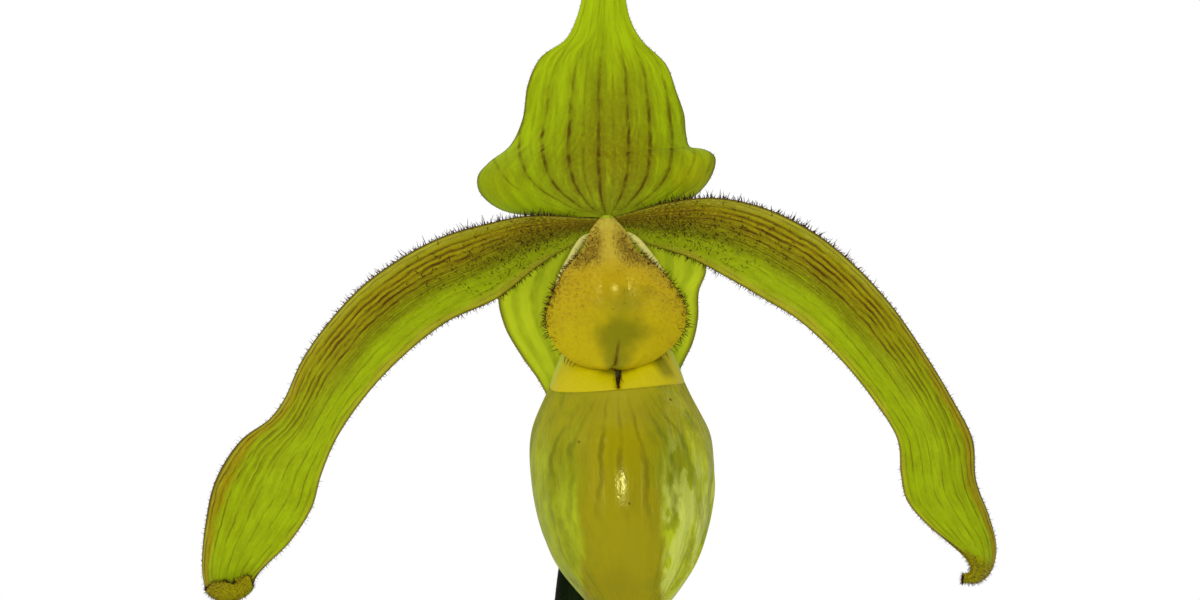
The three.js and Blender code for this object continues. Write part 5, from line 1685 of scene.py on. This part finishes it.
def shield_finish(settings):
    finish = Finish("shield flesh")
    across, along = finish.value("across"), finish.value("along")
    cloud = finish.noise(260.0, 4.0)
    gold = finish.layered(settings.shield, along, [(0.3, 0.0), (0.65, 1.0)], (0.43, 0.34, 0.001))
    base = finish.layered(gold, cloud, [(0.35, 0.25), (0.6, 0.0)], (0.33, 0.22, 0.001))
    neck = finish.ramp(along, [(0.0, 1.0), (0.2, 0.55), (0.4, 0.0)], smooth=True)
    base = finish.blend(neck, base, (0.46, 0.37, 0.04))
    off = finish.math("ABSOLUTE", finish.minus(across, 0.5))
    neck_sides = finish.times(
        finish.ramp(off, [(0.06, 0.0), (0.17, 0.65), (0.4, 0.65), (0.48, 0.3)]),
        finish.ramp(along, [(0.06, 0.0), (0.12, 1.0), (0.24, 1.0), (0.34, 0.0)]),
    )
    base = finish.blend(
        finish.faded(neck_sides, finish.noise(1500.0, 2.0), [(0.4, 0.4), (0.6, 1.0)]), base,
        (0.26, 0.14, 0.008),
    )
    off = finish.math("ABSOLUTE", finish.minus(across, 0.53))
    aside = finish.plus(off, finish.times_plus(cloud, 0.5, -0.25))
    rise = finish.place_along("Z")
    rise = finish.times_plus(
        rise, 1 / (SHIELD_PATCH_HEIGHT * MM), (SHIELD_PATCH_FOOT - FLOWER_PLACE[2]) / SHIELD_PATCH_HEIGHT,
    )
    rise = finish.plus(rise, finish.times_plus(finish.noise(200.0, 3.0), 0.7, -0.35))
    patch = finish.times(
        finish.ramp(aside, [(0.02, 0.95), (0.26, 0.0)], smooth=True),
        finish.ramp(rise, [(0.02, 0.2), (0.15, 0.8), (0.4, 0.72), (0.7, 0.5), (1.0, 0.0)], smooth=True),
    )
    base = finish.blend(patch, base, settings.shield_green)
    opened = finish.math("ABSOLUTE", finish.times_plus(cloud, 0.05, finish.minus(across, 0.555)))
    opened = finish.math("DIVIDE", opened, finish.ramp(along, [(0.72, 0.35), (0.9, 1.0)]))
    groove = finish.times(
        finish.ramp(opened, [(0.0, 1.0), (0.03, 0.9), (0.062, 0.0)]),
        finish.ramp(along, [(0.7, 0.0), (0.76, 0.8), (0.94, 0.95), (0.975, 0.0)]),
    )
    base = finish.blend(groove, base, (0.09, 0.04, 0.002))
    stipple = finish.times(
        finish.ramp(finish.noise(2600.0, 2.0), [(0.5, 0.0), (0.6, 0.8)]),
        finish.ramp(
            across, [(0.0, 0.9), (0.16, 0.5), (0.34, 0.3), (0.5, 0.1), (0.68, 0.2), (0.84, 0.4), (1.0, 0.9)],
        ),
    )
    stipple = finish.faded(stipple, along, [(0.1, 1.0), (0.45, 1.0), (0.62, 0.5), (0.8, 0.2)])
    base = finish.blend(stipple, base, (0.2, 0.08, 0.004))
    low_edge = finish.ramp(along, [(0.955, 0.0), (0.99, 0.55)])
    base = finish.blend(low_edge, base, (0.16, 0.1, 0.002))
    cells = finish.noise(1700.0, 3.0)
    edge = finish.times(finish.math("ABSOLUTE", finish.minus(across, 0.5)), 2.0)
    relief = finish.plus(
        finish.faded(cells, edge, [(0.15, 0.12), (0.6, 1.0)]),
        finish.faded(cloud, edge, [(0.2, 0.2), (0.6, 2.0)]),
    )
    normal = finish.bump(relief, 0.35, 0.0005)
    duller = finish.ramp(along, [(0.12, 0.3), (0.3, 0.0), (0.46, 0.0), (0.76, 0.28)])
    roughness = finish.plus(finish.ramp(edge, [(0.2, 0.19), (0.7, 0.38)]), duller)
    return finish.finish(base, roughness, normal, gloss=0.42, subsurface=0.2, tint=(1.0, 0.9, 0.15))


def make_shield(settings, tree):
    grid, along, across = ruled_grid(SHIELD_LEFT, SHIELD_RIGHT, 90, 60, shield_depth)
    edge = 2 * across - 1
    swell = np.sin(math.pi * along) * smooth_rise(along, 0.02, 0.5)
    thickness = 0.45 + 2.0 * (1 - edge**2)[None, :] ** 0.7 * swell[:, None]

    def on_faces(along, across, upper):
        off = np.abs(2 * across - 1)
        shoulders = smooth_rise(off, 0.86, 1.0) * smooth_rise(along, 0.25, 0.35)
        shoulders = shoulders * smooth_rise(along, 0.8, 0.5)
        neck = np.exp(-(((off - 0.55) / 0.24) ** 2)) * smooth_rise(along, 0.06, 0.12)
        neck = neck * smooth_rise(along, 0.36, 0.26)
        down = 0.03 * smooth_rise(along, 0.8, 0.3)
        return (0.35 * shoulders + 1.3 * neck + down) * upper

    hairs = {
        "faces": on_faces,
        "rim": lambda along, across: smooth_rise(along, 0.1, 0.25) * (
            0.3 + 0.7 * smooth_rise(along, 0.72, 0.5)) * smooth_rise(along, 0.9, 0.8),
        "length": lambda along, across: 0.5 + 0.5 * smooth_rise(np.abs(2 * across - 1), 0.6, 1.0),
    }
    shield = flower_blade("staminode_shield", grid, thickness, along, across, shield_finish(settings), hairs)
    add_hairs("staminode_hairs", shield, tree, hair_finish("shield hair", settings.shield_hair), "shield", [
        {"Where": "rim_hairs", "Hairs per Area": 2.0e7, "Length": 0.00095, "Slimness": 0.07, "Lean": 0.6},
        {"Where": "face_hairs", "Hairs per Area": 2.4e7, "Length": 0.0009, "Slimness": 0.05, "Lean": 0.9},
    ])
    settle(shield, "shield", "staminode")


def bead(centre, size):
    heights = np.linspace(-1, 1, 13)[1:-1] * 0.98
    angles = np.linspace(0, 2 * math.pi, 20, endpoint=False)
    rings = []
    for height in heights:
        radius = math.sqrt(1 - height**2)
        ring = np.stack([np.cos(angles) * radius, np.sin(angles) * radius, np.full(20, height)], axis=1)
        rings.append(ring * np.array(size) / 2 + np.array(centre))
    return skin(rings)


def column_finish(settings):
    finish = Finish("column flesh")
    cloud = finish.noise(500.0, 3.0)
    base = finish.blend(cloud, shaded(settings.column, 0.75), shaded(settings.column, 1.15))
    height = finish.place_along("Z")
    top = finish.times_plus(height, 1 / (COLUMN_GREEN_HEIGHT * MM), 1 - FLOWER_PLACE[2] / COLUMN_GREEN_HEIGHT)
    base = finish.layered(base, top, [(0.35, 0.0), (0.75, 0.9)], settings.lime)
    normal = finish.bump(finish.noise(2600.0, 2.0), 0.3, 0.0003)
    return finish.finish(base, 0.35, normal, gloss=0.4, subsurface=0.3, tint=(1.0, 0.95, 0.5))


def make_column(settings):
    stub = [
        (0, PETAL_LAYER - PETAL_THICKNESS / 2 - SEAT_GAP - 0.1, -1.1), (0, -1.1, -1.25), (0.1, -2.9, -3.2),
        (0.3, -4, -6.4),
    ]

    def wing(route):
        return stem(route, 24, 14, lambda share, angle: 0.34 + 0.14 * math.sin(math.pi * share))[:2]

    parts = [
        stem(stub, 16, 20, lambda share, angle: 1.15 + 0.4 * share)[:2],
        wing([(-0.8, -2.2, -2.2), (-2.9, -4.2, -3.05), (-4.35, -5.4, -5.4), (-5.6, -6.8, -7.7),
              (-5.95, -7.6, -9)]),
        wing([(0.8, -2.2, -2.1), (3, -4, -2.7), (4.95, -5.3, -4.8), (6.5, -6.7, -7), (7.25, -7.5, -8.4)]),
        bead((0.5, -5.4, -8), (5, 3.6, 4.4)),
        bead((-1.7, -4.8, -7.2), (3.4, 2.6, 3.6)), bead((2.7, -4.8, -7.2), (3.4, 2.6, 3.6)),
    ]
    points, faces = merged(parts)
    material = column_finish(settings)
    column = make_piece("column_body", points + FLOWER_PLACE, faces, material)
    remesh = column.modifiers.new("One skin", "REMESH")
    remesh.mode = "VOXEL"
    remesh.voxel_size = COLUMN_VOXEL
    remesh.use_smooth_shade = True
    smooth = column.modifiers.new("Soft joins", "SMOOTH")
    smooth.iterations = 3
    apply_modifiers(column)
    column.data.materials.clear()
    column.data.materials.append(material)
    column.data.shade_smooth()
    settle(column, "column", "column")


# Floor, lights and camera

def area_light(name, place, target, width, height, power):
    lamp = bpy.data.lights.new(name, "AREA")
    lamp.shape = "RECTANGLE"
    lamp.size = width
    lamp.size_y = height
    lamp.energy = power
    holder = bpy.data.objects.new(name, lamp)
    holder.location = place
    holder.rotation_mode = "QUATERNION"
    holder.rotation_quaternion = (Vector(target) - Vector(place)).to_track_quat("-Z", "Y")
    holder.visible_camera = False
    bpy.context.scene.collection.objects.link(holder)


def make_world(settings):
    """White behind the flower and dimmer in front; straight white where the camera sees it."""
    world = bpy.data.worlds.new("White studio")
    world.use_nodes = True
    nodes = Nodes(world.node_tree)
    nodes.tree.nodes.clear()
    direction = nodes.add("ShaderNodeTexCoord", output="Generated")
    depth = nodes.add("ShaderNodeSeparateXYZ", {"Vector": direction}, output="Y")
    strength = nodes.add(
        "ShaderNodeMapRange",
        {
            "Value": depth, "From Min": -0.5, "From Max": 0.5, "To Min": settings.front_light,
            "To Max": settings.backdrop,
        },
    )
    path = nodes.tree.nodes.new("ShaderNodeLightPath").outputs
    seen = path["Is Camera Ray"]
    strength = nodes.times(
        strength, nodes.times_plus(path["Is Glossy Ray"], settings.mirrored_light - 1, 1.0),
    )
    plain = nodes.minus(1.0, seen)
    total = nodes.plus(seen, nodes.times(plain, strength))
    light = nodes.add("ShaderNodeBackground", {"Color": (1, 1, 1, 1), "Strength": total})
    nodes.add("ShaderNodeOutputWorld", {"Surface": light})
    bpy.context.scene.world = world


def make_floor(settings):
    edge = settings.floor_radius / MM
    angles = np.linspace(0, 2 * math.pi, 96, endpoint=False)
    ring = np.stack([np.cos(angles), np.sin(angles), 0 * angles], axis=1) * edge
    points, faces = skin([ring - np.array([0, 0, FLOOR_THICKNESS]), ring])
    finish = Finish("pale floor")
    cloud = finish.noise(3.0, 3.0)
    base = finish.blend(cloud, shaded(settings.floor, 0.97), settings.floor)
    floor = make_piece("floor", points, faces, finish.finish(base, 0.8, gloss=0.2))


def make_camera(settings):
    lens = bpy.data.cameras.new("camera")
    lens.lens = CAMERA_LENS
    lens.sensor_width = CAMERA_SENSOR
    lens.clip_end = 50
    camera = bpy.data.objects.new("camera", lens)
    middle = Vector(FLOWER_PLACE) * MM
    camera.location = middle + Vector((CAMERA_ASIDE, -settings.camera_distance, EYE_HEIGHT * MM))
    camera.rotation_mode = "QUATERNION"
    camera.rotation_quaternion = Vector((0, 1, 0)).to_track_quat("-Z", "Y")
    bpy.context.scene.collection.objects.link(camera)
    bpy.context.scene.camera = camera


# Operators

class ORCHID_OT_stage(bpy.types.Operator):
    """Set up the camera, the lights and the pale floor"""

    bl_idname = "orchid.stage"
    bl_label = "Stage"

    def execute(self, context):
        settings = context.scene.orchid_stage
        make_camera(settings)
        make_world(settings)
        make_floor(settings)
        aim = Vector(FLOWER_PLACE) * MM + Vector(LAMP_AIM)
        for name, place, width, height, share in LAMPS:
            area_light(name, place, aim, width, height, settings.key_power * share)
        context.scene.view_settings.view_transform = "Standard"
        return {"FINISHED"}


class ORCHID_OT_pot(bpy.types.Operator):
    """Turn the clay pot and fill it with bark chips"""

    bl_idname = "orchid.pot"
    bl_label = "Pot and bark"

    def execute(self, context):
        make_pot(context.scene.orchid_pot)
        make_bark(context.scene.orchid_pot)
        return {"FINISHED"}


class ORCHID_OT_leaves(bpy.types.Operator):
    """Grow the two fans of leaves"""

    bl_idname = "orchid.leaves"
    bl_label = "Leaves"

    def execute(self, context):
        make_leaves(context.scene.orchid_foliage)
        return {"FINISHED"}


class ORCHID_OT_stem(bpy.types.Operator):
    """Grow the hairy flower stem, its bract and the ribbed ovary"""

    bl_idname = "orchid.stem"
    bl_label = "Flower stem"

    def execute(self, context):
        make_stem(context.scene.orchid_foliage, hair_tree())
        return {"FINISHED"}


class ORCHID_OT_sepals(bpy.types.Operator):
    """Make the upper sepal and the joined lower sepals"""

    bl_idname = "orchid.sepals"
    bl_label = "Sepals"

    def execute(self, context):
        make_sepals(context.scene.orchid_flower, hair_tree())
        return {"FINISHED"}


class ORCHID_OT_petals(bpy.types.Operator):
    """Make the two drooping petals and their hairs"""

    bl_idname = "orchid.petals"
    bl_label = "Petals"

    def execute(self, context):
        make_petals(context.scene.orchid_flower, hair_tree())
        return {"FINISHED"}


class ORCHID_OT_lip(bpy.types.Operator):
    """Make the slipper-shaped lip with its folded-in side lobes"""

    bl_idname = "orchid.lip"
    bl_label = "Lip"

    def execute(self, context):
        make_lip(context.scene.orchid_flower, hair_tree())
        return {"FINISHED"}


class ORCHID_OT_shield(bpy.types.Operator):
    """Make the golden shield with its hairs and the column behind it"""

    bl_idname = "orchid.shield"
    bl_label = "Shield and column"

    def execute(self, context):
        make_column(context.scene.orchid_flower)
        make_shield(context.scene.orchid_flower, hair_tree())
        return {"FINISHED"}


class ORCHID_PT_panel(bpy.types.Panel):
    """Sizes, colours and steps of the potted orchid"""

    bl_idname = "ORCHID_PT_panel"
    bl_label = "Potted Orchid"
    bl_space_type = "VIEW_3D"
    bl_region_type = "UI"
    bl_category = "Orchid"

    def draw(self, context):
        for group in GROUPS:
            settings = getattr(context.scene, group)
            box = self.layout.box()
            for key in settings.__annotations__:
                box.prop(settings, key)
        for step in STEPS:
            self.layout.operator(step.bl_idname)


GROUPS = {
    "orchid_stage": StageSettings, "orchid_pot": PotSettings,
    "orchid_foliage": FoliageSettings, "orchid_flower": FlowerSettings,
}
STEPS = (
    ORCHID_OT_stage, ORCHID_OT_pot, ORCHID_OT_leaves, ORCHID_OT_stem, ORCHID_OT_sepals, ORCHID_OT_petals,
    ORCHID_OT_lip, ORCHID_OT_shield,
)


def register():
    for cls in (*GROUPS.values(), *STEPS, ORCHID_PT_panel):
        bpy.utils.register_class(cls)
    for name, cls in GROUPS.items():
        setattr(bpy.types.Scene, name, PointerProperty(type=cls))


def unregister():
    for name in GROUPS:
        delattr(bpy.types.Scene, name)
    for cls in reversed((*GROUPS.values(), *STEPS, ORCHID_PT_panel)):
        bpy.utils.unregister_class(cls)


def main():
    register()
    for step in STEPS:
        family, name = step.bl_idname.split(".")
        getattr(getattr(bpy.ops, family), name)()
    bpy.context.view_layer.update()


if __name__ == "__main__":
    main()
